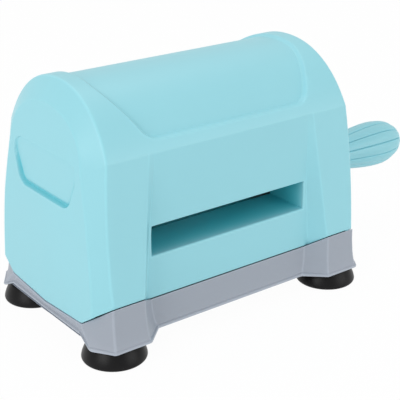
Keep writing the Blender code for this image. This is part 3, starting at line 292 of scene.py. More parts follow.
# Stage
FLOOR_HALF = 4.0
LAMP_TARGET = (0, 0, 0.05)
LAMPS = (
    ("key_lamp", "key", (-0.92, -0.24, 0.50), (0.6, 0.6)),
    ("front_lamp", "fill", (0.50, -0.90, 0.30), (0.7, 0.5)),
    ("top_lamp", "top", (0.1, 0.25, 0.95), (0.8, 0.8)),
)
CAMERA_PLACE = (-0.2542, -0.3499, 0.2226)
CAMERA_DIP = math.radians(22.62)
CAMERA_TURN = math.radians(-37.06)


def smooth_step(share):
    """0 up to 0, 1 from 1 on, and between them 3 s^2 - 2 s^3."""
    share = np.clip(share, 0, 1)
    return share * share * (3 - 2 * share)


def mixed(low, high, share):
    """The value a share of the way from low to high."""
    return low + (high - low) * share


def way(low, high, value):
    """How far a value lies on the way from low to high, as a share."""
    return (value - low) / (high - low)


def way_within(low, high, value):
    """The share of the way, kept from 0 to 1."""
    return np.clip(way(low, high, value), 0, 1)


def bell(distance, width):
    """A bell curve e^-(d/w)^2."""
    return np.exp(-((distance / width) ** 2))


def quarter_round(start, wide, high, steps=6):
    """A quarter of an ellipse from its start: a sin u one way and b (1 - cos u) the other."""
    turn = np.radians(np.linspace(0, 90, steps))
    return np.array(start) + np.stack([wide * np.sin(turn), high * (1 - np.cos(turn))], axis=-1)


def fitted(levels, values, at, degree):
    """The polynomial of a degree that passes nearest the (level, value) pairs, read at a height."""
    return np.polyval(np.polyfit(np.array(levels) * 1000, values, degree), np.asarray(at) * 1000)


def middle_of(name):
    """The middle of a solid's box."""
    low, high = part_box(name)
    return (low + high) / 2


def rounded_rails(rails, radii, spans, arc=5):
    """A grid across the rails of each row, and how much of each column lies in a rounded corner.

    Spans between rails are straight. Near a rail with a radius the row leaves both spans at that
    distance, or at 45 % of the shorter span, and follows (1-t)^2 A + 2 t (1-t) P + t^2 B, where P is the
    rail. The mask is 4 t (1-t), and each column's owner is the rail that it rounds, or 0.
    """
    blocks, masks, owners = [], [], []

    def add(points, mask, owner):
        blocks.append(points)
        masks.append(mask)
        owners.append(np.full(len(mask), owner))

    last = rails.shape[1] - 1
    start = rails[:, 0]
    for index in range(1, last + 1):
        rail = rails[:, index]
        near, far = rail, rail
        rounded = index < last and radii[index] > 0
        if rounded:
            before, after = rail - rails[:, index - 1], rails[:, index + 1] - rail
            lengths = [np.linalg.norm(side, axis=1, keepdims=True) for side in (before, after)]
            lengths = [np.maximum(length, 1e-9) for length in lengths]
            radius = np.minimum(radii[index], LONGEST_ROUND * np.minimum(*lengths))
            near = rail - before / lengths[0] * radius
            far = rail + after / lengths[1] * radius
        count = spans[index - 1]
        share = (np.arange(count) / count)[None, :, None]
        add(start[:, None] + (near - start)[:, None] * share, np.zeros(count), 0)
        if rounded:
            t = (np.arange(arc) / arc)[None, :, None]
            curve = (1 - t) ** 2 * near[:, None] + 2 * t * (1 - t) * rail[:, None] + t * t * far[:, None]
            add(curve, (4 * t * (1 - t)).ravel(), index)
        start = far
    add(rails[:, -1:], np.zeros(1), 0)
    return np.concatenate(blocks, axis=1), np.concatenate(masks), np.concatenate(owners)


def grid_quads(rows, cols, around=False):
    """The four corners of each cell of a grid, as an array (rows - 1, cells, 4)."""
    index = np.arange(rows * cols).reshape(rows, cols)
    left = index if around else index[:, :-1]
    right = np.roll(index, -1, axis=1) if around else index[:, 1:]
    return np.stack([left[:-1], right[:-1], right[1:], left[1:]], axis=-1)


def turned_grid(profile, segments, centre, along_x=False):
    """The profile's (radius, along) points carried round an axis: r cos u and r sin u on the others."""
    turn = 2 * np.pi * np.arange(segments) / segments
    radius = profile[:, :1]
    along = np.repeat(profile[:, 1:], segments, axis=1)
    across, up = radius * np.cos(turn), radius * np.sin(turn)
    points = np.stack([along, across, up] if along_x else [across, up, along], axis=-1)
    return points + np.asarray(centre)


def part_of(grid, mask, around=False, keep=None):
    """One part of a mesh: its points, quads and edge mask."""
    rows, cols = grid.shape[:2]
    quads = grid_quads(rows, cols, around)
    quads = quads.reshape(-1, 4) if keep is None else quads[keep]
    return grid.reshape(-1, 3), quads, np.broadcast_to(mask, (rows, cols)).ravel()


def mirrored_part(part):
    """The part reflected from the front to the rear."""
    points, quads, edge = part
    return points * FRONT_TO_REAR, quads[:, ::-1], edge


def placed(name, data):
    """A new object of the scene with its data."""
    item = bpy.data.objects.new(name, data)
    bpy.context.scene.collection.objects.link(item)
    return item


def piece_from(name, parts, body, material, replaced=(), sharp=38):
    """One object from parts, with its doubles merged and its faces turned outwards."""
    old = bpy.data.objects.get(name)
    if old is not None:
        bpy.data.objects.remove(old, do_unlink=True)
    points, quads, edges = zip(*parts)
    starts = np.cumsum([0, *map(len, points)])
    points = np.concatenate(points)
    faces = np.concatenate([quad + start for quad, start in zip(quads, starts)])
    if not np.isfinite(points).all():
        raise ValueError(name + " has a point that is not a number")
    mesh = bpy.data.meshes.new(name)
    mesh.from_pydata(points.tolist(), [], faces.tolist())
    # The edge attribute holds painted highlight where it is over 0 and painted shade where it is under 0
    edge = mesh.attributes.new("edge", "FLOAT", "POINT")
    edge.data.foreach_set("value", np.concatenate(edges).astype(np.float32))
    work = bmesh.new()
    work.from_mesh(mesh)
    bmesh.ops.remove_doubles(work, verts=work.verts, dist=3e-6)
    bmesh.ops.dissolve_degenerate(work, edges=work.edges, dist=1e-7)
    bmesh.ops.recalc_face_normals(work, faces=work.faces)
    work.to_mesh(mesh)
    work.free()
    mesh.polygons.foreach_set("use_smooth", np.ones(len(mesh.polygons), dtype=bool))
    mesh.set_sharp_from_angle(angle=math.radians(sharp))
    mesh.materials.append(material)
    piece = placed(name, mesh)
    weighted = piece.modifiers.new("even_shading", "WEIGHTED_NORMAL")
    weighted.keep_sharp = True
    weighted.weight = 60
    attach(piece, body)
    if replaced:
        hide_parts(*replaced)


def seam_line(depth):
    """The seam's height at a depth: straight up from a low middle to 28.3 mm, then 7 in 10."""
    away = np.abs(depth)
    dip = SEAM_DIP * np.maximum(1 - away / SEAM_FLAT, 0)
    return SEAM_HEIGHT + SEAM_SLOPE * np.maximum(away - SEAM_FLAT, 0) - dip


def arch_point(turn, apex):
    """(depth, height) of the dome: a superellipse, a cos^(2/n) and foot + rise sin^(2/n)."""
    depth = ARCH_DEPTH * np.maximum(np.cos(turn), 0) ** (2 / ARCH_POWER)
    return depth, ARCH_FOOT + (apex - ARCH_FOOT) * np.sin(turn) ** (2 / ARCH_POWER)


def arch_turn(height, apex):
    """The turn of the dome's point at a height, as arch_point takes it."""
    return math.asin(way(ARCH_FOOT, apex, height) ** (ARCH_POWER / 2))


def arch_normal(y, z, apex):
    """Unit normal of the dome in the (depth, height) plane, from its superellipse's gradient."""
    across = np.sign(y) * (np.abs(y) / ARCH_DEPTH) ** (ARCH_POWER - 1) / ARCH_DEPTH
    up = np.maximum(way(ARCH_FOOT, apex, z), 0) ** (ARCH_POWER - 1) / (apex - ARCH_FOOT)
    length = np.maximum(np.hypot(across, up), 1e-9)
    return across / length, up / length


def crease_depth(apex):
    """How far forward the dome meets the front face."""
    return arch_point(arch_turn(CREASE_HEIGHT, apex), apex)[0]


def front_depth(height, apex):
    """How far the pilasters stand forward at a height, on the straight line up to the crease."""
    return mixed(FLARE_DEPTH, crease_depth(apex), way(FLARE_HEIGHT, CREASE_HEIGHT, height))


def recess_line(height, apex):
    """How far the slotted face stands forward: upright past the slot, then leaning to the crease."""
    return mixed(RECESS_DEPTH, crease_depth(apex), way_within(SLOT_CEILING, CREASE_HEIGHT, height))


def rounded_inside(distances, radius):
    """Distance inside an outline from its distances inside each side, with corners of a radius.

    It is r - sqrt(sum of max(r - d, 0)^2), which is 0 on the outline and no more than r.
    """
    return radius - np.sqrt(sum(np.maximum(radius - distance, 0) ** 2 for distance in distances))


def hold_inside(depth, height):
    """Distance inside the hand-hold's outline, a low trapezium widest near its top."""
    depth = np.abs(depth)
    sides = [height - HOLD_LOW_HEIGHT, HOLD_TOP_HEIGHT - height]
    low, wide = (HOLD_LOW_HALF, HOLD_LOW_HEIGHT), (HOLD_WIDE_HALF, HOLD_WIDE_HEIGHT)
    for (y0, z0), (y1, z1) in ((low, wide), (wide, (HOLD_TOP_HALF, HOLD_TOP_HEIGHT))):
        length = math.hypot(y1 - y0, z1 - z0)
        sides.append(((height - z0) * (y1 - y0) - (depth - y0) * (z1 - z0)) / length)
    return rounded_inside(sides, HOLD_CORNER)


def hold_half_width(height):
    """The hand-hold's half width at each height, found to 0.01 mm where its outline's distance is 0."""
    height = np.clip(height, HOLD_LOW_HEIGHT + 2e-5, HOLD_TOP_HEIGHT - 2e-5)
    tries = np.linspace(0, 0.03, 3001)
    inside = hold_inside(tries[None, :], height[:, None]) > 0
    return inside.sum(axis=1) * (tries[1] - tries[0])


def panel_half(height):
    """Half the length of the dome's panel at a height: it widens evenly towards the top."""
    share = way_within(PANEL_LOW_HEIGHT, PANEL_TOP_HEIGHT, height)
    return mixed(PANEL_LOW_HALF, PANEL_TOP_HALF, share**PANEL_SPREAD)


def level_rows():
    """Heights of the rows below the crease, read on the end faces, close together at every outline."""
    edge = HOLD_LOW_HEIGHT + np.array(HOLD_EDGE_ROWS) * 1e-4
    upper = np.concatenate([OVER_SLOT_ROWS, edge, *(np.arange(*ends) for ends in HOLD_ROWS)])
    return np.array([*SLOT_ROWS, *np.sort(upper), END_HEIGHTS[2]])


def arch_shares(apex):
    """Shares of the way up the dome of its rows, close together at the panel's and hold's edges."""
    start = arch_turn(CREASE_HEIGHT, apex)
    near = way(start, math.pi / 2, arch_turn(PANEL_LOW_HEIGHT, apex))
    hold = math.asin(way(*END_HEIGHTS[2:], HOLD_TOP_HEIGHT) ** (END_POWER / 2)) / (math.pi / 2)
    top = hold - np.array(HOLD_TOP_ROWS) * 1e-4
    shares = np.concatenate([np.linspace(0, 1, DOME_ROWS), near + np.linspace(*PANEL_EDGE_ROWS), top])
    return np.unique(np.round(shares[(shares >= 0) & (shares <= 1)], 6))[1:]


def end_rails(outline, height, blend):
    """Rails from the end's ridge to its outline, as (reach, depth, height) rows.

    A rail's height lies a share of blend of the way from the seam to its own level.
    """
    hold = np.minimum(hold_half_width(height), HOLD_RAIL_LIMIT)
    outer = np.minimum(hold, HOLD_RAIL_SHARE * outline)
    inner = np.maximum(outer - HOLD_RAIL_GAP, 0)
    knee = np.maximum(outline * (SEAM_FLAT / END_DEPTHS[0]), mixed(outer, outline, KNEE_SHARE))
    rails = []
    for place in (outline * 0, inner, outer, knee, outline):
        share = place / np.maximum(outline, 1e-9)
        level = mixed(seam_line(place), height, blend)
        below = mixed(*END_REACHES[:2], way(*END_HEIGHTS[:2], level))
        reach = np.where(level < END_HEIGHTS[0], below, np.interp(level, END_HEIGHTS, END_REACHES))
        rise = RIDGE_RISE * (1 - way_within(RIDGE_FOOT, END_HEIGHTS[3], level))
        rails.append(np.stack([reach + rise * (1 - share), place, level], axis=-1))
    return rails


def lower_rails(apex):
    """Rails of the front left quarter from the seam to the crease, and the pilaster's top reaches."""
    level = level_rows()
    spread = mixed(SPREAD_FOOT, CREASE_HEIGHT, way(SPREAD_FOOT, END_HEIGHTS[2], level))
    front = np.where(level > SPREAD_FOOT, spread, level)
    blend = np.concatenate([np.arange(BAND_ROWS) / BAND_ROWS, np.ones(len(level))])
    end_level, front_level = (
        np.concatenate([np.full(BAND_ROWS, level[0]), heights]) for heights in (level, front)
    )

    def settled(depth_at, target):
        """A rail's depths and heights, its lowest rows lying between the seam and their level."""
        height = target
        for _ in range(HOUSING_SETTLE_ROUNDS):
            height = mixed(seam_line(depth_at(height))[0], target, blend)
        return depth_at(height), height

    depth, height = settled(lambda at: fitted(END_HEIGHTS[:3], END_DEPTHS, at, 2), end_level)
    ends = end_rails(depth, end_level, blend)
    ends[-1][:, 2] = height
    corner = settled(lambda at: front_depth(at, apex), front_level)
    face = settled(lambda at: recess_line(at, apex), front_level)
    outer = mixed(*PILASTER_OUTERS, way(*PILASTER_HEIGHTS, corner[1]))
    inner = mixed(*PILASTER_INNERS, way(*PILASTER_HEIGHTS, face[1]))
    slot_reach = np.minimum(SLOT_HALF_LENGTH + SLOT_LIP, inner - SLOT_RAIL_GAP)
    reaches = [fitted(CORNER_HEIGHTS, CORNER_REACHES, corner[1], 3), outer, inner, slot_reach, inner * 0]
    lines = (corner, corner, face, face, face)
    rails = ends + [np.stack([reach, *line], axis=-1) for reach, line in zip(reaches, lines)]
    return rails, outer[-1], inner[-1]


def upper_rails(apex, outer_foot, inner_foot):
    """Rails of the front left quarter from the crease over the dome to its highest line."""
    shares = arch_shares(apex)
    y, z = arch_point(mixed(arch_turn(CREASE_HEIGHT, apex), math.pi / 2, shares), apex)
    turn = shares * math.pi / 2
    end_height = mixed(*END_HEIGHTS[2:], np.sin(turn) ** (2 / END_POWER))
    end_depth = END_DEPTHS[2] * np.maximum(np.cos(turn), 0) ** (2 / END_POWER)
    y[-1] = end_depth[-1] = 0
    corner = mixed(CORNER_REACHES[-1], CORNER_TOP_REACH, way(CREASE_HEIGHT, apex, z) ** CORNER_LEAN_POWER)
    half = panel_half(z)
    blend = way_within(CREASE_HEIGHT, PANEL_LOW_HEIGHT, z)
    outer = mixed(outer_foot, half + PANEL_RAIL_OUTSIDE, blend)
    inner = mixed(inner_foot, half - PANEL_RAIL_INSIDE, blend)
    reaches = (corner, outer, inner, inner - PANEL_RAIL_FLAT, y * 0)
    ends = end_rails(end_depth, end_height, np.ones(len(z)))
    return ends + [np.stack([reach, y, z], axis=-1) for reach in reaches]


def housing_front(apex):
    """Rails (rows, rails, 3) over the housing's front, left to right, and its rows below the crease."""
    lower, outer_foot, inner_foot = lower_rails(apex)
    upper = upper_rails(apex, outer_foot, inner_foot)
    left = np.stack([np.concatenate(pair) for pair in zip(lower, upper)], axis=1)
    left = left * LEFT_TO_RIGHT * FRONT_TO_REAR
    right = (left * LEFT_TO_RIGHT)[:, -2::-1]
    return np.concatenate([left, right], axis=1), len(lower[0])


def slot_throat(loop):
    """The slot's rounded lip and the throat behind it, from the loop of points round its opening.

    Each ring is the loop drawn in towards its middle by e and set back by d: first a quarter circle
    e = r sin u, d = r (1 - cos u), then straight in, round the throat's end and back outside it. The edge
    mask gives the lip a painted highlight, and inside it is under 0 for painted shade, down to -1, by
    1 - e^(-d / 3 mm).
    """
    middle = np.array([0, 0, (SLOT_FLOOR + SLOT_CEILING) / 2])
    half = np.array([SLOT_HALF_LENGTH + SLOT_LIP, 1, (SLOT_CEILING - SLOT_FLOOR) / 2 + SLOT_LIP])
    lip = quarter_round((0, 0), SLOT_LIP, SLOT_LIP, steps=5)
    outwards = [*[0] * 8, *THROAT_END_STEPS, THROAT_WALL, THROAT_WALL]
    inset = [*lip[:, 0], *(SLOT_LIP - np.array(outwards))]
    back = -loop[0, 1] - THROAT_END
    depth = [*lip[:, 1], *THROAT_DEPTHS, back - THROAT_END_ROUND, back, back, back, THROAT_OUTSIDE_DEPTH]
    rings = []
    for e, d in zip(inset, depth):
        ring = middle + (loop - middle) * (1 - e / half)
        ring[:, 1] = loop[:, 1] + d
        rings.append(ring)
    shade = 1 - np.exp(-np.maximum(np.array(depth) - SLOT_LIP, 0) / THROAT_SHADE)
    # A painted highlight on the lip's rings, less the painted shade inside the throat
    mask = np.array([0, 0.6, 1, 0.6] + [0] * 13) - shade
    return part_of(np.array(rings), mask[:, None], around=True)


def ledge_rows(row):
    """Rows from inside the wall to the bottom edge: down, a flat as wide as the wall, a small round."""
    tangent = np.gradient(row[:, :2], axis=0)
    tangent /= np.maximum(np.linalg.norm(tangent, axis=1, keepdims=True), 1e-9)
    inward = np.stack([-tangent[:, 1], tangent[:, 0], np.zeros(len(row))], axis=-1)
    steps = ((WALL, WALL_INSIDE_HEIGHT), (WALL, 0), (LEDGE_ROUND, 0), (LEDGE_ROUND / 4, LEDGE_ROUND / 4))
    return np.array([row + inward * away + np.array([0, 0, up]) for away, up in (*steps, (0, LEDGE_ROUND))])


def let_in_panel(grid, on_dome, sizes):
    """Sinks the dome's panel into the grid, and gives the mask of a painted highlight along its rim.

    The depth is a smooth step of the distance inside the outline, halved towards the dome's top.
    """
    x, y, z = grid[..., 0], grid[..., 1], grid[..., 2]
    middle_depth, middle_height = y[:, grid.shape[1] // 2], z[:, grid.shape[1] // 2]
    travel = np.concatenate([[0], np.cumsum(np.hypot(np.diff(middle_depth), np.diff(middle_height)))])
    low = travel - np.interp(PANEL_LOW_HEIGHT, middle_height, travel)
    low = np.broadcast_to(low[:, None], x.shape)
    side = (panel_half(middle_height)[:, None] - np.abs(x)) * PANEL_SIDE_SLANT
    inside = rounded_inside([side, low], PANEL_CORNER)
    bevel = mixed(PANEL_LOW_BEVEL, PANEL_BEVEL, np.clip(low / PANEL_BEVEL_CHANGE, 0, 1))
    up_share = way_within(PANEL_LOW_HEIGHT, sizes.apex_height, z)
    depth = sizes.panel_depth * mixed(1, PANEL_TOP_SHARE, up_share)
    sunk = np.where(on_dome, depth * smooth_step(inside / bevel), 0)
    across, up = arch_normal(y, z, sizes.apex_height)
    y -= across * sunk
    z -= up * sunk
    return np.where(on_dome & (low < PANEL_RIM_HIGHLIGHT_REACH), PANEL_RIM_HIGHLIGHT * bell(inside, PANEL_RIM_HIGHLIGHT_WIDTH), 0)


def let_in_hold(grid, sizes):
    """Sinks the hand-hold into the left end, and gives the masks of a painted highlight along its rim and
    of painted shade inside its lower edge.

    It is deepest along its lower edge, where a groove, a bell curve of the distance inside, goes deeper.
    """
    x, y, z = grid[..., 0], grid[..., 1], grid[..., 2]
    left_end = x < HOLD_FACE
    inside = np.where(left_end, hold_inside(y, z), -1)
    share = way(HOLD_LOW_HEIGHT, HOLD_TOP_HEIGHT, z)
    groove_fade, shade_fade = (
        np.clip(start - loss * share, 0, 1) for start, loss in (HOLD_GROOVE_FADE, HOLD_SHADE_FADE)
    )
    depth = mixed(sizes.hold_depth, HOLD_TOP_DEPTH, np.clip(share, 0, 1))
    depth += sizes.hold_groove * bell(inside - HOLD_GROOVE_PLACE, HOLD_GROOVE_WIDTH) * groove_fade
    x += depth * smooth_step(inside / HOLD_BEVEL)
    rim = np.where(left_end, HOLD_RIM_HIGHLIGHT * bell(inside, HOLD_RIM_HIGHLIGHT_WIDTH), 0)
    shade = HOLD_SHADE * bell(inside - HOLD_BEVEL, HOLD_GROOVE_WIDTH) * shade_fade
    return rim, np.where(left_end & (inside > 0), shade, 0)


def slot_cells(grid):
    """Which of the grid's cells stay when the slot is cut out, and the loop of points round it."""
    height = grid[:, grid.shape[1] // 2, 2]
    low, high = (
        int(np.argmin(np.abs(height - level))) for level in (SLOT_FLOOR - SLOT_LIP, SLOT_CEILING + SLOT_LIP)
    )
    columns = np.where(np.abs(np.abs(grid[low, :, 0]) - SLOT_HALF_LENGTH - SLOT_LIP) < 1e-7)[0]
    left, right = columns[0], columns[-1]
    keep = np.ones((grid.shape[0] - 1, grid.shape[1] - 1), dtype=bool)
    keep[low:high, left:right] = False
    up, down = grid[low:high, right], grid[high:low:-1, left]
    return keep, np.concatenate([grid[low, left:right], up, grid[high, right:left:-1], down])


def make_housing(sizes, material):
    """The moulded housing's skin.

    Rails run up each line of the form. Rows cross them with rounded corners, and the panel and the
    hand-hold are let in by moving points. The rear is the front reflected.
    """
    rails, lower_rows = housing_front(sizes.apex_height)
    radius = sizes.edge_radius
    small = radius * PILASTER_ROUND_SHARE
    radii = [0, 0, 0, KNEE_RADIUS, radius, radius, small, small, 0, 0]
    grid, mask, owner = rounded_rails(rails, radii + radii[-2::-1], RAIL_SPANS + RAIL_SPANS[::-1])
    on_dome = np.zeros(grid.shape[:2], dtype=bool)
    on_dome[lower_rows:] = True
    panel_highlight = let_in_panel(grid, on_dome, sizes)
    hold_highlight, hold_shade = let_in_hold(grid, sizes)
    owner = np.minimum(owner, 2 * len(radii) - 2 - owner)
    # Painted highlight on the rounded corners and along the panel's and hand-hold's rims, less the
    # hand-hold's painted shade
    painted_highlight = mask * np.where(on_dome, np.take(EDGE_HIGHLIGHT_ABOVE, owner), np.take(EDGE_HIGHLIGHT_BELOW, owner))
    edge = np.maximum(painted_highlight, np.maximum(panel_highlight, hold_highlight)) - hold_shade
    keep, loop = slot_cells(grid)
    ledge = ledge_rows(grid[0])
    grid[0] = ledge[-1]
    # A painted highlight on the bottom edge's small round
    foot = part_of(ledge, np.array([0, 0, 0, 1, 0])[:, None])
    parts = [part_of(grid, edge, keep=keep), foot, slot_throat(loop)]
    parts += [mirrored_part(part) for part in parts]
    piece_from("housing_skin", parts, "housing", material, ["housing_shell"])


def make_boss(material):
    """The crank's boss on the right end: a turned profile with a rounded face and a fillet at its root."""
    axis = middle_of("crank_shaft")
    root = quarter_round((BOSS_RADIUS + BOSS_FILLET, BOSS_FILLET_REACH), -BOSS_FILLET, BOSS_FILLET)
    lip = quarter_round((BOSS_FACE - BOSS_ROUND, BOSS_RADIUS), BOSS_ROUND, -BOSS_ROUND)[:, ::-1]
    bore = np.array(BOSS_BORE_STEPS) + (BOSS_BORE_RADIUS, BOSS_FACE)
    profile = np.concatenate([[[BOSS_ROOT_RADIUS, BOSS_ROOT_REACH]], root, lip, bore])
    # A painted highlight on the face's rounded edge and on the bore's lip
    mask = np.array([0] * 7 + [0.5, 0.8, 1, 1, 0.8, 0.5] + [1, 1, 0])[:, None]
    grid = turned_grid(profile, segments=64, centre=(0, axis.y, axis.z), along_x=True)
    piece_from("crank_boss", [part_of(grid, mask, around=True)], "housing", material)


def base_lines(height, inset):
    """(reach, depth) of one quarter's seven rails: foot and rim lines mixed by 1 - (1 - s)^p."""
    at = {}
    for label, (foot, rim, top, power, taken) in BASE_LINES.items():
        share = 1 - (1 - way_within(BASE_BOTTOM, top, height)) ** power
        at[label] = mixed(foot, rim, share) - inset * taken
    arch = [(mixed(at["middle_x"], at["end_x"], share), at["end_y"] * share) for share in END_ARCH_SHARES]
    corner = [(at["corner_x"], at["corner_y"]), (at["pilaster_x"], at["corner_y"])]
    return [*arch, *corner, (at["recess_x"], at["recess_y"])]


def base_profile(lip):
    """The base's profile from its deck down round the lip, over the bead and up to the rim.

    Each row holds the share of the wall's height, the rise from its bottom, the drop from its top and
    the inset.
    """
    top = lip + BEAD_HEIGHTS[-1]
    rows = [(0, 0, 0, WALL), (0, FOOT_INSIDE_RISE, 0, WALL), (0, 0, 0, WALL - FOOT_INSIDE_ROUND)]
    rows += [(0, up, 0, inset) for inset, up in quarter_round((lip, 0), -lip, lip)]
    rows += [(0, lip + rise, 0, BEAD_RISE * share) for rise, share in zip(BEAD_HEIGHTS, (0, 0.7, 1))]
    rows += [(s, top, RIM_ROUND, BEAD_RISE * max(1 - s * 2, 0)) for s in np.linspace(*BASE_WALL_ROWS)]
    rows += [(1, 0, down, inset) for down, inset in quarter_round((RIM_ROUND, 0), -RIM_ROUND, RIM_ROUND)]
    rows += [(1, 0, 0, WALL), (1, 0, RIM_INSIDE_DROP, WALL)]
    return np.array(rows).T


def make_base(sizes, material):
    """The grey base's skin: its outline carried up a profile.

    A row's outline mixes the foot line and the rim line, each corner is rounded, and the top follows the
    seam 0.3 mm below the housing.
    """
    share, up, down, inset = base_profile(sizes.lip_radius)
    rails = []
    for index, bottom in enumerate([DECK_UNDERSIDE] * 2 + [BASE_BOTTOM] * 5):
        depth = np.zeros(len(share))
        for _ in range(BASE_SETTLE_ROUNDS):
            height = mixed(bottom + up, seam_line(depth) - SEAM_GAP - down, share)
            height[0] = DECK_UNDERSIDE
            reach, depth = base_lines(height, inset)[index]
        rails.append(np.stack([reach, depth, height], axis=-1))
    quarter = np.stack(rails, axis=1)
    half = np.concatenate([quarter, (quarter * LEFT_TO_RIGHT)[:, ::-1]], axis=1)
    near = (half * FRONT_TO_REAR)[:, ::-1]
    loop = np.concatenate([half, near[:, 1:]], axis=1)
    radius = sizes.edge_radius
    small = radius * BASE_ROUND_SHARE
    radii = [0, ARCH_ROUND, ARCH_ROUND, radius, radius, small, small]
    radii = radii + radii[::-1]
    spans = BASE_SPANS + (8,) + BASE_SPANS[::-1]
    grid, mask, _ = rounded_rails(loop, radii + radii[-2::-1], spans + spans)
    # A painted highlight on the lip's round, the rim's round and the rounded corners
    lip = np.zeros(len(share))
    lip[3:9] = (0.2, 0.6, 1, 1, 0.6, 0.2)
    lip[-7:-2] = 0.7
    edge = np.maximum(mask[None, :] * CORNER_HIGHLIGHT, lip[:, None])
    piece_from("base_skin", [part_of(grid, edge)], "housing", material, ["base_tray"])


def make_underside(material):
    """The deck's underside and the seats of its screws, kept from the solid's own faces."""
    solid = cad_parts["base_tray"].data
    solid.calc_loop_triangles()
    points = np.empty((len(solid.vertices), 3), np.float32)
    solid.vertices.foreach_get("co", points.ravel())
    triangles = np.empty((len(solid.loop_triangles), 3), np.int32)
    solid.loop_triangles.foreach_get("vertices", triangles.ravel())
    stems = ("housing_screw", "frame_screw", "cup_stud")
    centres = np.array([middle_of(name)[:2] for name in sorted(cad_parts) if name.startswith(stems)])
    away = np.linalg.norm(points[:, None, :2] - centres[None], axis=2)
    at_screw = (away < SCREW_SEAT_RADIUS)[triangles].all(axis=1).any(axis=1)
    on_deck = (np.abs(points[:, 2] - DECK_UNDERSIDE) < SAME_HEIGHT)[triangles].all(axis=1)
    used, index = np.unique(triangles[at_screw | on_deck], return_inverse=True)
    under = bpy.data.meshes.new("base_underside")
    under.from_pydata(points[used].tolist(), [], index.reshape(-1, 3).tolist())
    work = bmesh.new()
    work.from_mesh(under)
    bmesh.ops.remove_doubles(work, verts=work.verts, dist=2e-6)
    work.to_mesh(under)
    work.free()
    under.materials.append(material)
    deck = placed("base_underside", under)
    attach(deck, "housing")


def make_cups(sizes, material):
    """Four suction cups, each a turned profile.

    From the rim up the radius is neck + (rim - neck) (1 - s^p)^(1/p). The hollow below it is a parabola.
    """
    rim = sizes.cup_radius
    across = np.linspace(0, 1, CUP_HOLLOW_ROWS)[:-1]
    height = np.linspace(0, 1, CUP_SIDE_ROWS)
    bulge = mixed(CUP_NECK_RADIUS, rim, np.maximum(1 - height**CUP_POWER, 0) ** (1 / CUP_POWER))
    hollow = np.stack([(rim - CUP_HOLLOW_INSET) * across, CUP_HOLLOW_HEIGHT * (1 - across**2)], axis=-1)
    lip = quarter_round((rim - CUP_LIP_ROUND, 0), CUP_LIP_ROUND, CUP_RIM_HEIGHT, steps=5)[:-1]
    side = np.stack([bulge, mixed(CUP_RIM_HEIGHT, CUP_SHOULDER_HEIGHT, height)], axis=-1)
    inwards, down = CUP_NECK_BEVEL
    neck = [[CUP_NECK_RADIUS, CUP_NECK_TOP - down], [CUP_NECK_RADIUS - inwards, CUP_NECK_TOP]]
    profile = np.concatenate([hollow, lip, side, neck, [[0, CUP_NECK_TOP]]])
    # A painted highlight on the cup's lip and on the neck's bevel
    mask = np.array([0] * len(hollow) + [0.8] * len(lip) + [0] * len(side) + [0.8, 1, 0])[:, None]
    for side_x, label_x in ((-1, "left"), (1, "right")):
        for side_y, label_y in ((-1, "front"), (1, "rear")):
            place = label_y + "_" + label_x
            centre = (side_x * CUP_REACH, side_y * CUP_DEPTH, 0)
            grid = turned_grid(profile, segments=72, centre=centre)
            part = part_of(grid, mask, around=True)
            piece_from("cup_skin_" + place, [part], "housing", material, ["suction_cup_" + place])


def make_grip(sizes, material):
    """The crank's grip: rings along X whose radius swells by (1 + cos) / 2, then closes as R cos(u)^p.

    Twelve narrow grooves run lengthwise, each a bell curve of the angle from its middle, and the land
    between two grooves is crowned by cos^2.
    """
    low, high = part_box("grip")
    axis = middle_of("grip_pin")
    radius = sizes.grip_radius
    start = low.x
    end = min(high.x, start + GRIP_LENGTH)
    straight = end - start - GRIP_ROUND_LENGTH
    along = np.linspace(0, 1, GRIP_BODY_ROWS)
    back = np.minimum(straight * (1 - along) / GRIP_SWELL_LENGTH, 1)
    swell = mixed(GRIP_START_RADIUS, radius, (1 + np.cos(np.pi * back)) / 2)
    body = np.stack([swell, np.maximum(start + straight * along, start + GRIP_MOUTH_ROUND)], axis=-1)
    turn = np.radians(np.linspace(0, 90, GRIP_CAP_ROWS))[1:]
    cap = np.stack([
        radius * np.maximum(np.cos(turn), 0) ** GRIP_CAP_POWER,
        end - GRIP_ROUND_LENGTH * (1 - np.sin(turn)),
    ], axis=-1)
    cap[-1, 0] = 0
    rim = (GRIP_START_RADIUS - GRIP_MOUTH_ROUND, start)
    mouth = quarter_round(rim, GRIP_MOUTH_ROUND, GRIP_MOUTH_ROUND)[:-1]
    bore = np.array(GRIP_BORE_STEPS) + (GRIP_BORE_RADIUS, start)
    profile = np.concatenate([bore, mouth, body, cap])
    fades = (np.zeros(len(bore)), np.linspace(0, 1, len(mouth)), np.ones(len(body)))
    fade = np.concatenate([*fades, 1 - smooth_step(way(*GRIP_FADE_TURNS, turn))])
    lobe = np.radians(GRIP_TURNS)
    pitch = 2 * np.pi / GRIP_GROOVES
    turn = (pitch * np.arange(GRIP_GROOVES)[:, None] + lobe[None, :]).ravel() + GRIP_GROOVE_TURN
    away = np.tile(np.minimum(lobe, pitch - lobe), GRIP_GROOVES)
    sink = sizes.groove_depth * bell(away, GRIP_GROOVE_WIDTH)
    sink += GRIP_CROWN * np.cos(np.pi * away / pitch) ** 2
    ring = np.maximum(profile[:, :1] - sink[None, :] * fade[:, None], 0)
    ring[-1] = 0
    grid = np.stack([
        np.broadcast_to(profile[:, 1:], ring.shape),
        axis.y + ring * np.cos(turn),
        axis.z + ring * np.sin(turn),
    ], axis=-1)
    # A painted highlight on the land's edges beside each groove, fading towards the mouth and the cap's top
    edge = bell(away - GRIP_LAND_EDGE, GRIP_LAND_EDGE_WIDTH)[None, :] * fade[:, None]
    piece_from("grip_skin", [part_of(grid, edge, around=True)], "grip", material, ["grip"], sharp=60)


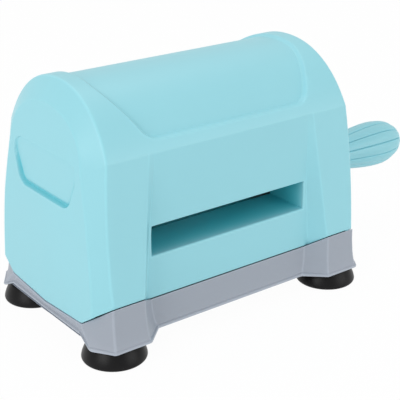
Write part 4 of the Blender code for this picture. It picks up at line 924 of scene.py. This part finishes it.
def make_arm(material):
    """The crank's arm: the outline round its two ends carried over a rounded, slightly dished profile.

    At an inset d the outline is two half circles of radii hub - d and end - d joined by straight sides.
    """
    low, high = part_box("crank_arm")
    hub = middle_of("crank_shaft")
    length = hub.z - middle_of("grip_pin").z
    slope = math.asin((ARM_HUB_RADIUS - ARM_END_RADIUS) / length)
    upper = np.linspace(-slope, math.pi + slope, ARM_HUB_STEPS)
    lower = np.linspace(math.pi + slope, 2 * math.pi - slope, ARM_END_STEPS)
    side = [*quarter_round((ARM_ROUND, 0), -ARM_ROUND, ARM_ROUND)[:, ::-1], *ARM_DISH]
    rows = [(inset, high.x - drop) for inset, drop in reversed(side)]
    rows += [(inset, low.x + drop) for inset, drop in side]
    grid = []
    for inset, x in rows:
        hub_radius, end_radius = 0, 0
        if inset < ARM_MIDDLE_INSET:
            hub_radius = max(ARM_HUB_RADIUS - inset, ARM_LEAST_HUB)
            end_radius = ARM_END_RADIUS - inset
        y = np.concatenate([hub_radius * np.cos(upper), end_radius * np.cos(lower)])
        z = np.concatenate([hub_radius * np.sin(upper), end_radius * np.sin(lower) - length])
        grid.append(np.stack([np.full(len(y), x), hub.y + y, hub.z + z], axis=-1))
    # A painted highlight on the arm's rounded edges
    mask = np.array([0.0] * 6 + [0.5, 1, 1, 1, 1, 0.5])
    mask = np.concatenate([mask, mask[::-1]])[:, None]
    piece_from("arm_skin", [part_of(np.array(grid), mask, around=True)], "crank", material, ["crank_arm"])


def add_node(tree, kind, feeds, **settings):
    """A shader node with its settings made, and its inputs set to plain values or linked to sockets."""
    node = tree.nodes.new("ShaderNode" + kind)
    for label, value in settings.items():
        setattr(node, label, value)
    for label, value in feeds.items():
        if isinstance(value, bpy.types.NodeSocket):
            tree.links.new(value, node.inputs[label])
        else:
            node.inputs[label].default_value = value
    return node


def maths_of(tree):
    """Functions that put a maths node into a tree: product, sum, difference and the larger of two."""

    def maths(operation):
        return lambda a, b: add_node(tree, "Math", {0: a, 1: b}, operation=operation).outputs[0]

    return [maths(operation) for operation in ("MULTIPLY", "ADD", "SUBTRACT", "MAXIMUM")]


def noise(tree, vector, scale, detail, rough):
    """A noise texture's value on a vector."""
    feeds = {"Vector": vector, "Scale": scale, "Detail": detail, "Roughness": rough}
    return add_node(tree, "TexNoise", feeds).outputs["Fac"]


def ranged(tree, value, low, high):
    """A value of 0 to 1 brought to the range low to high."""
    return add_node(tree, "MapRange", {"Value": value, "To Min": low, "To Max": high}).outputs[0]


def grey_of(tree, value):
    """The grey colour of a value."""
    return add_node(tree, "CombineColor", {0: value, 1: value, 2: value}).outputs[0]


def mixed_colour(tree, factor, first, second, blend_type="MIX"):
    """Two colours mixed by a factor."""
    feeds = {"Factor": factor, "A": first, "B": second}
    return add_node(tree, "Mix", feeds, data_type="RGBA", blend_type=blend_type).outputs["Result"]


def shader_group(name, inputs):
    """A new shader group with its inputs at their usual values, and the sockets that it is given."""
    tree = bpy.data.node_groups.new(name, "ShaderNodeTree")
    kinds = {1: "NodeSocketFloat", 3: "NodeSocketVector", 4: "NodeSocketColor"}
    for label, default in inputs.items():
        socket = tree.interface.new_socket(name=label, in_out="INPUT", socket_type=kinds[np.size(default)])
        socket.default_value = default
    return tree, tree.nodes.new("NodeGroupInput").outputs


def fill_outputs(tree, results):
    """Gives a shader group its outputs, linked to the sockets that hold them."""
    for label, socket in results.items():
        kind = "NodeSocketColor" if socket.type == "RGBA" else "NodeSocketFloat"
        tree.interface.new_socket(name=label, in_out="OUTPUT", socket_type=kind)
    last = tree.nodes.new("NodeGroupOutput")
    for label, socket in results.items():
        tree.links.new(socket, last.inputs[label])


def moulded_group():
    """Moulded plastic: broad tint changes, a fine eroded grain, flow marks, and a painted highlight
    on rounded edges, which are also made less rough.

    Where the edge mask is under 0, far inside an opening, painted shade turns the colour towards a
    darker, stronger shade colour and dulls the shine.
    """
    inputs = {
        "Colour": (0.5, 0.5, 0.5, 1),
        "Tint Change": 0.03,
        "Grain Scale": 1400.0,
        "Roughness": 0.4,
        "Edge Light": 0.10,
        "Deep Colour": (0.5, 0.5, 0.5, 1),
        "Shine": 0.5,
    }
    tree, given = shader_group("moulded_plastic", inputs)
    times, plus, minus, larger = maths_of(tree)
    place = add_node(tree, "TexCoord", {}).outputs["Object"]
    edge = add_node(tree, "Attribute", {}, attribute_name="edge", attribute_type="GEOMETRY").outputs["Fac"]
    stretched = add_node(tree, "Mapping", {"Vector": place, "Scale": (1, 6, 3)}).outputs["Vector"]
    broad = noise(tree, place, scale=22, detail=3, rough=0.55)
    flow = noise(tree, stretched, scale=30, detail=4, rough=0.6)
    grain = noise(tree, place, scale=given["Grain Scale"], detail=2, rough=0.6)
    fine = noise(tree, place, scale=5200, detail=1, rough=0.5)
    uneven = minus(plus(times(broad, 0.7), times(flow, 0.3)), 0.5)
    tint = times(uneven, times(given["Tint Change"], 2))
    painted_highlight = times(larger(edge, 0), given["Edge Light"])
    painted_shade = larger(times(edge, -1), 0)
    body = mixed_colour(tree, painted_shade, given["Colour"], given["Deep Colour"])
    factor = grey_of(tree, plus(plus(tint, 1), painted_highlight))
    fill_outputs(tree, {
        "Colour": mixed_colour(tree, 1, body, factor, "MULTIPLY"),
        "Roughness": minus(plus(given["Roughness"], times(uneven, 0.16)), times(painted_highlight, 0.6)),
        "Height": plus(times(grain, 0.7), times(fine, 0.3)),
        "Shine": times(given["Shine"], minus(1, times(painted_shade, 0.85))),
    })
    return tree


def metal_group():
    """Worked metal: tool marks stretched along one axis, soft stains and a rougher, darker haze."""
    inputs = {
        "Colour": (0.6, 0.6, 0.6, 1),
        "Mark Scale": (300.0, 300.0, 300.0),
        "Roughness": 0.3,
        "Stain": 0.15,
    }
    tree, given = shader_group("worked_metal", inputs)
    times, plus, minus, _ = maths_of(tree)
    place = add_node(tree, "TexCoord", {}).outputs["Object"]
    stretched = add_node(tree, "VectorMath", {0: place, 1: given["Mark Scale"]}, operation="MULTIPLY")
    marks = noise(tree, stretched.outputs[0], scale=1, detail=3, rough=0.65)
    haze = noise(tree, place, scale=130, detail=4, rough=0.6)
    worn = ranged(tree, haze, low=0.0, high=given["Stain"])
    factor = grey_of(tree, plus(minus(1.0, worn), times(minus(marks, 0.5), 0.18)))
    fill_outputs(tree, {
        "Colour": mixed_colour(tree, 1, given["Colour"], factor, "MULTIPLY"),
        "Roughness": plus(plus(given["Roughness"], times(marks, 0.12)), times(worn, 0.5)),
        "Height": marks,
    })
    return tree


def finished_material(name, group, values, metallic, bump, strength):
    """A material whose colour, roughness and bump come from a group, with its own values."""
    material = bpy.data.materials.new(name)
    material.use_nodes = True
    tree = material.node_tree
    shader = tree.nodes["Principled BSDF"]
    shader.inputs["Metallic"].default_value = metallic
    given = add_node(tree, "Group", values, node_tree=group).outputs
    relief = add_node(tree, "Bump", {"Height": given["Height"], "Distance": bump, "Strength": strength})
    tree.links.new(relief.outputs["Normal"], shader.inputs["Normal"])
    slots = {"Colour": "Base Color", "Roughness": "Roughness", "Shine": "Specular IOR Level"}
    for label, slot in slots.items():
        if label in given:
            tree.links.new(given[label], shader.inputs[slot])
    return material


MATERIALS = {}


def finishes(context):
    """Every finish of the machine, made once from the colours in the panel."""
    if MATERIALS:
        return MATERIALS
    tones = context.scene.die_cutter_finishes
    moulded, worked = moulded_group(), metal_group()

    def plastic(name, colour, roughness, grain, tint, edge, bump=0.00003, shine=0.5, painted_shade=None):
        values = {"Colour": (*colour, 1), "Roughness": roughness, "Grain Scale": grain, "Tint Change": tint}
        values |= {"Edge Light": edge, "Deep Colour": (*(painted_shade or colour), 1), "Shine": shine}
        MATERIALS[name] = finished_material(name, moulded, values, metallic=0.0, bump=bump, strength=0.5)

    def metal(name, colour, roughness, scale, stain):
        values = {"Colour": (*colour, 1), "Roughness": roughness, "Mark Scale": scale, "Stain": stain}
        MATERIALS[name] = finished_material(name, worked, values, metallic=1.0, bump=0.00001, strength=0.4)

    # The teal's painted shade colour fills the slot's throat and the hand-hold's groove
    teal = {"roughness": tones.teal_roughness, "painted_shade": tones.teal_painted_shade}
    rubber = {"roughness": tones.rubber_roughness, "bump": 0.00004, "shine": 0.20}
    # edge sets the strength of the painted highlight on each finish's rounded edges
    plastic("teal_plastic", tones.teal, grain=1300, tint=0.03, edge=0.07, **teal)
    plastic("grey_plastic", tones.grey, grain=1500, tint=0.03, edge=0.34, roughness=tones.grey_roughness)
    plastic("black_rubber", tones.rubber, grain=2400, tint=0.25, edge=0.30, **rubber)
    plastic("gear_nylon", tones.nylon, grain=1800, tint=0.04, edge=0.0, roughness=0.42)
    metal("zinc_steel", tones.zinc, roughness=0.30, scale=(420, 420, 420), stain=0.22)
    metal("roller_steel", tones.steel, roughness=0.16, scale=(6000, 60, 60), stain=0.10)
    metal("bronze_bush", tones.bronze, roughness=0.30, scale=(3500, 120, 120), stain=0.25)
    return MATERIALS


# The finish of every solid whose name starts so, where a later line goes before an earlier one
NODE_FINISHES = (
    (("housing_shell", "crank_arm", "grip"), "teal_plastic"),
    (("base_tray",), "grey_plastic"),
    (("suction_cup",), "black_rubber"),
    (("side_plate", "frame_screw", "housing_screw", "cup_stud", "cup_nut", "crank_screw"), "zinc_steel"),
    (("upper_clip", "lower_clip"), "zinc_steel"),
    (("upper_roller", "lower_roller", "crank_shaft", "grip_pin", "tie_bar"), "roller_steel"),
    (("upper_gear", "lower_gear", "crank_pinion"), "gear_nylon"),
    (("upper_bush", "lower_bush", "crank_bush"), "bronze_bush"),
)


def finish_nodes(context):
    """Gives every solid that is kept its finish by its name."""
    ready = finishes(context)
    for name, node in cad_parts.items():
        labels = [label for stems, label in NODE_FINISHES if name.startswith(stems)]
        if not labels:
            raise ValueError(name + " has no finish")
        node.data.materials.clear()
        node.data.materials.append(ready[labels[-1]])


def mixed_surface(tree, share, first, second, last):
    """Links a mix of two shaders to the tree's last node."""
    blend = add_node(tree, "MixShader", {0: share, 1: first.outputs[0], 2: second.outputs[0]})
    tree.links.new(blend.outputs[0], tree.nodes[last].inputs["Surface"])


def seen_directly(tree):
    """1 for what the camera sees, also in a reflection or through glass, and 0 for other light."""
    path = add_node(tree, "LightPath", {}).outputs
    *_, larger = maths_of(tree)
    return larger(larger(path["Is Camera Ray"], path["Is Glossy Ray"]), path["Is Transmission Ray"])


def floor_material(settings):
    """A pale floor that reads as white to the camera and in reflections but keeps the machine's shadow."""
    material = bpy.data.materials.new("pale_floor")
    material.use_nodes = True
    tree = material.node_tree
    place = add_node(tree, "TexCoord", {}).outputs["Object"]
    patches = noise(tree, place, scale=40, detail=3, rough=0.5)
    tone = grey_of(tree, ranged(tree, patches, low=0.90, high=0.92))
    shader = tree.nodes["Principled BSDF"]
    shader.inputs["Roughness"].default_value = 0.7
    tree.links.new(tone, shader.inputs["Base Color"])
    times, *_ = maths_of(tree)
    share = times(seen_directly(tree), settings.floor_white)
    mixed_surface(tree, share, shader, add_node(tree, "Emission", {}), "Material Output")
    return material


def area_lamp(name, place, size, energy):
    """A soft lamp at a place, turned to the machine's middle."""
    data = bpy.data.lights.new(name, "AREA")
    data.shape = "RECTANGLE"
    data.size, data.size_y = size
    data.energy = energy
    lamp = placed(name, data)
    lamp.location = place
    x, y, z = np.array(LAMP_TARGET, float) - np.array(place, float)
    lamp.rotation_euler = (math.pi / 2 + math.atan2(z, math.hypot(x, y)), 0, math.atan2(y, x) - math.pi / 2)


def make_stage(settings):
    """The floor, the white surroundings, three soft lamps and the camera."""
    scene = bpy.context.scene
    scene.view_settings.view_transform = "Standard"
    mesh = bpy.data.meshes.new("floor")
    corners = np.array([(-1, -1, 0), (1, -1, 0), (1, 1, 0), (-1, 1, 0)]) * FLOOR_HALF
    mesh.from_pydata(corners.tolist(), [], [(0, 1, 2, 3)])
    mesh.materials.append(floor_material(settings))
    floor = placed("floor", mesh)

    world = bpy.data.worlds.new("studio")
    scene.world = world
    world.use_nodes = True
    tree = world.node_tree
    soft = tree.nodes["Background"]
    soft.inputs["Color"].default_value = (1, 1, 1, 1)
    soft.inputs["Strength"].default_value = settings.surround
    white = add_node(tree, "Background", {"Strength": 1})
    mixed_surface(tree, seen_directly(tree), soft, white, "World Output")

    for name, label, place, size in LAMPS:
        area_lamp(name, place, size, getattr(settings, label))

    data = bpy.data.cameras.new("camera")
    data.lens = settings.lens
    data.sensor_width = 36
    data.clip_start = 0.01
    camera = placed("camera", data)
    camera.location = CAMERA_PLACE
    camera.rotation_euler = (math.pi / 2 - CAMERA_DIP, 0, CAMERA_TURN)
    scene.camera = camera


def length_property(name, description, default):
    """A length in metres that the user may change."""
    look = {"precision": 5, "unit": "LENGTH", "subtype": "DISTANCE"}
    return FloatProperty(name=name, description=description, default=default, min=0, **look)


def colour_property(name, description, default):
    """A colour that the user may change."""
    look = {"min": 0, "max": 1, "size": 3, "subtype": "COLOR"}
    return FloatVectorProperty(name=name, description=description, default=default, **look)


def factor_property(name, description, default, high=1.0):
    """A plain number that the user may change."""
    return FloatProperty(name=name, description=description, default=default, min=0, max=high)


class DieCutterSizes(bpy.types.PropertyGroup):
    """Lengths of the moulded pieces."""

    apex_height: length_property("Dome height", "Height of the housing's highest line", 0.10885)
    edge_radius: length_property("Edge radius", "Roundness of the moulded edges", 0.0009)
    panel_depth: length_property("Panel depth", "Depth of the shallow panel in the dome", 0.0024)
    hold_depth: length_property("Hand-hold depth", "Depth of the hand-hold at its lower edge", 0.0016)
    hold_groove: length_property("Hand-hold groove", "Extra depth of the hand-hold's groove", 0.0007)
    lip_radius: length_property("Lip radius", "Roundness of the base's bottom edge", 0.0013)
    cup_radius: length_property("Cup radius", "Radius of a suction cup's rim", 0.0135)
    grip_radius: length_property("Grip radius", "Largest radius of the grip", 0.0113)
    groove_depth: length_property("Groove depth", "Depth of the grip's grooves", 0.0007)


class DieCutterFinishes(bpy.types.PropertyGroup):
    """Colours and roughness of the finishes."""

    teal: colour_property("Teal", "Colour of the housing, arm and grip", (0.310, 0.680, 0.762))
    # Painted shade colour of the housing, in its slot's throat and the hand-hold's groove
    teal_painted_shade: colour_property("Teal painted shade", "Colour of the housing in its slot", (0.080, 0.560, 0.640))
    grey: colour_property("Grey", "Colour of the base", (0.350, 0.386, 0.446))
    rubber: colour_property("Rubber", "Colour of the suction cups", (0.004, 0.004, 0.0045))
    nylon: colour_property("Nylon", "Colour of the gears", (0.72, 0.70, 0.64))
    zinc: colour_property("Zinc", "Colour of the plated steel", (0.56, 0.57, 0.58))
    steel: colour_property("Steel", "Colour of the ground rollers and shafts", (0.62, 0.62, 0.63))
    bronze: colour_property("Bronze", "Colour of the bushes", (0.46, 0.30, 0.15))
    teal_roughness: factor_property("Teal roughness", "Roughness of the teal plastic", 0.40)
    grey_roughness: factor_property("Grey roughness", "Roughness of the grey plastic", 0.46)
    rubber_roughness: factor_property("Rubber roughness", "Roughness of the rubber", 0.36)


class DieCutterStage(bpy.types.PropertyGroup):
    """Light, floor and lens."""

    surround: factor_property("Surround", "Strength of the white surroundings", 0.60, 5)
    key: factor_property("Key lamp", "Power of the lamp over the left end", 3.5, 100)
    fill: factor_property("Front lamp", "Power of the lamp before the slot", 2.05, 100)
    top: factor_property("Top lamp", "Power of the lamp overhead", 2.15, 100)
    floor_white: factor_property("Floor white", "Share of plain white in the floor", 0.97)
    lens: factor_property("Lens", "Focal length in millimetres", 95.3, 500)


class DIECUTTER_OT_housing(bpy.types.Operator):
    """Builds the moulded housing with its slots, panel, hand-hold and crank boss."""

    bl_idname = "die_cutter.housing"
    bl_label = "Housing"

    def execute(self, context):
        material = finishes(context)["teal_plastic"]
        make_housing(context.scene.die_cutter_sizes, material)
        make_boss(material)
        return {"FINISHED"}


class DIECUTTER_OT_base(bpy.types.Operator):
    """Builds the grey base with its flared walls and rounded lip."""

    bl_idname = "die_cutter.base"
    bl_label = "Base"

    def execute(self, context):
        material = finishes(context)["grey_plastic"]
        make_base(context.scene.die_cutter_sizes, material)
        make_underside(material)
        return {"FINISHED"}


class DIECUTTER_OT_cups(bpy.types.Operator):
    """Builds the four suction cups."""

    bl_idname = "die_cutter.cups"
    bl_label = "Suction cups"

    def execute(self, context):
        make_cups(context.scene.die_cutter_sizes, finishes(context)["black_rubber"])
        return {"FINISHED"}


class DIECUTTER_OT_crank(bpy.types.Operator):
    """Builds the crank's arm and its fluted grip."""

    bl_idname = "die_cutter.crank"
    bl_label = "Crank and grip"

    def execute(self, context):
        material = finishes(context)["teal_plastic"]
        make_arm(material)
        make_grip(context.scene.die_cutter_sizes, material)
        return {"FINISHED"}


class DIECUTTER_OT_finish(bpy.types.Operator):
    """Gives the frame, rollers, gears, bushes and screws their finishes."""

    bl_idname = "die_cutter.finish"
    bl_label = "Mechanism finishes"

    def execute(self, context):
        finish_nodes(context)
        return {"FINISHED"}


class DIECUTTER_OT_stage(bpy.types.Operator):
    """Builds the floor, the lamps and the camera."""

    bl_idname = "die_cutter.stage"
    bl_label = "Stage"

    def execute(self, context):
        make_stage(context.scene.die_cutter_stage)
        return {"FINISHED"}


class DIECUTTER_PT_panel(bpy.types.Panel):
    """Sizes, finishes and pieces of the die cutting machine."""

    bl_idname = "DIECUTTER_PT_panel"
    bl_label = "Die cutting machine"
    bl_space_type = "VIEW_3D"
    bl_region_type = "UI"
    bl_category = "Die cutter"

    def draw(self, context):
        for name in SETTINGS:
            group = getattr(context.scene, name)
            column = self.layout.column()
            for label in group.__annotations__:
                column.prop(group, label)
        for operator in OPERATORS:
            self.layout.operator(operator.bl_idname)


SETTINGS = {
    "die_cutter_sizes": DieCutterSizes,
    "die_cutter_finishes": DieCutterFinishes,
    "die_cutter_stage": DieCutterStage,
}
OPERATORS = (
    DIECUTTER_OT_finish,
    DIECUTTER_OT_housing,
    DIECUTTER_OT_base,
    DIECUTTER_OT_cups,
    DIECUTTER_OT_crank,
    DIECUTTER_OT_stage,
)
CLASSES = (*SETTINGS.values(), *OPERATORS, DIECUTTER_PT_panel)


def register():
    """Adds the classes and the scene's settings."""
    for item in CLASSES:
        bpy.utils.register_class(item)
    for name, group in SETTINGS.items():
        setattr(bpy.types.Scene, name, PointerProperty(type=group))


def unregister():
    """Takes the settings and the classes away again."""
    for name in SETTINGS:
        delattr(bpy.types.Scene, name)
    for item in reversed(CLASSES):
        bpy.utils.unregister_class(item)


def main():
    """Builds the whole dressed machine."""
    register()
    bpy.ops.die_cutter.finish()
    bpy.ops.die_cutter.housing()
    bpy.ops.die_cutter.base()
    bpy.ops.die_cutter.cups()
    bpy.ops.die_cutter.crank()
    bpy.ops.die_cutter.stage()


if __name__ == "__main__":
    main()
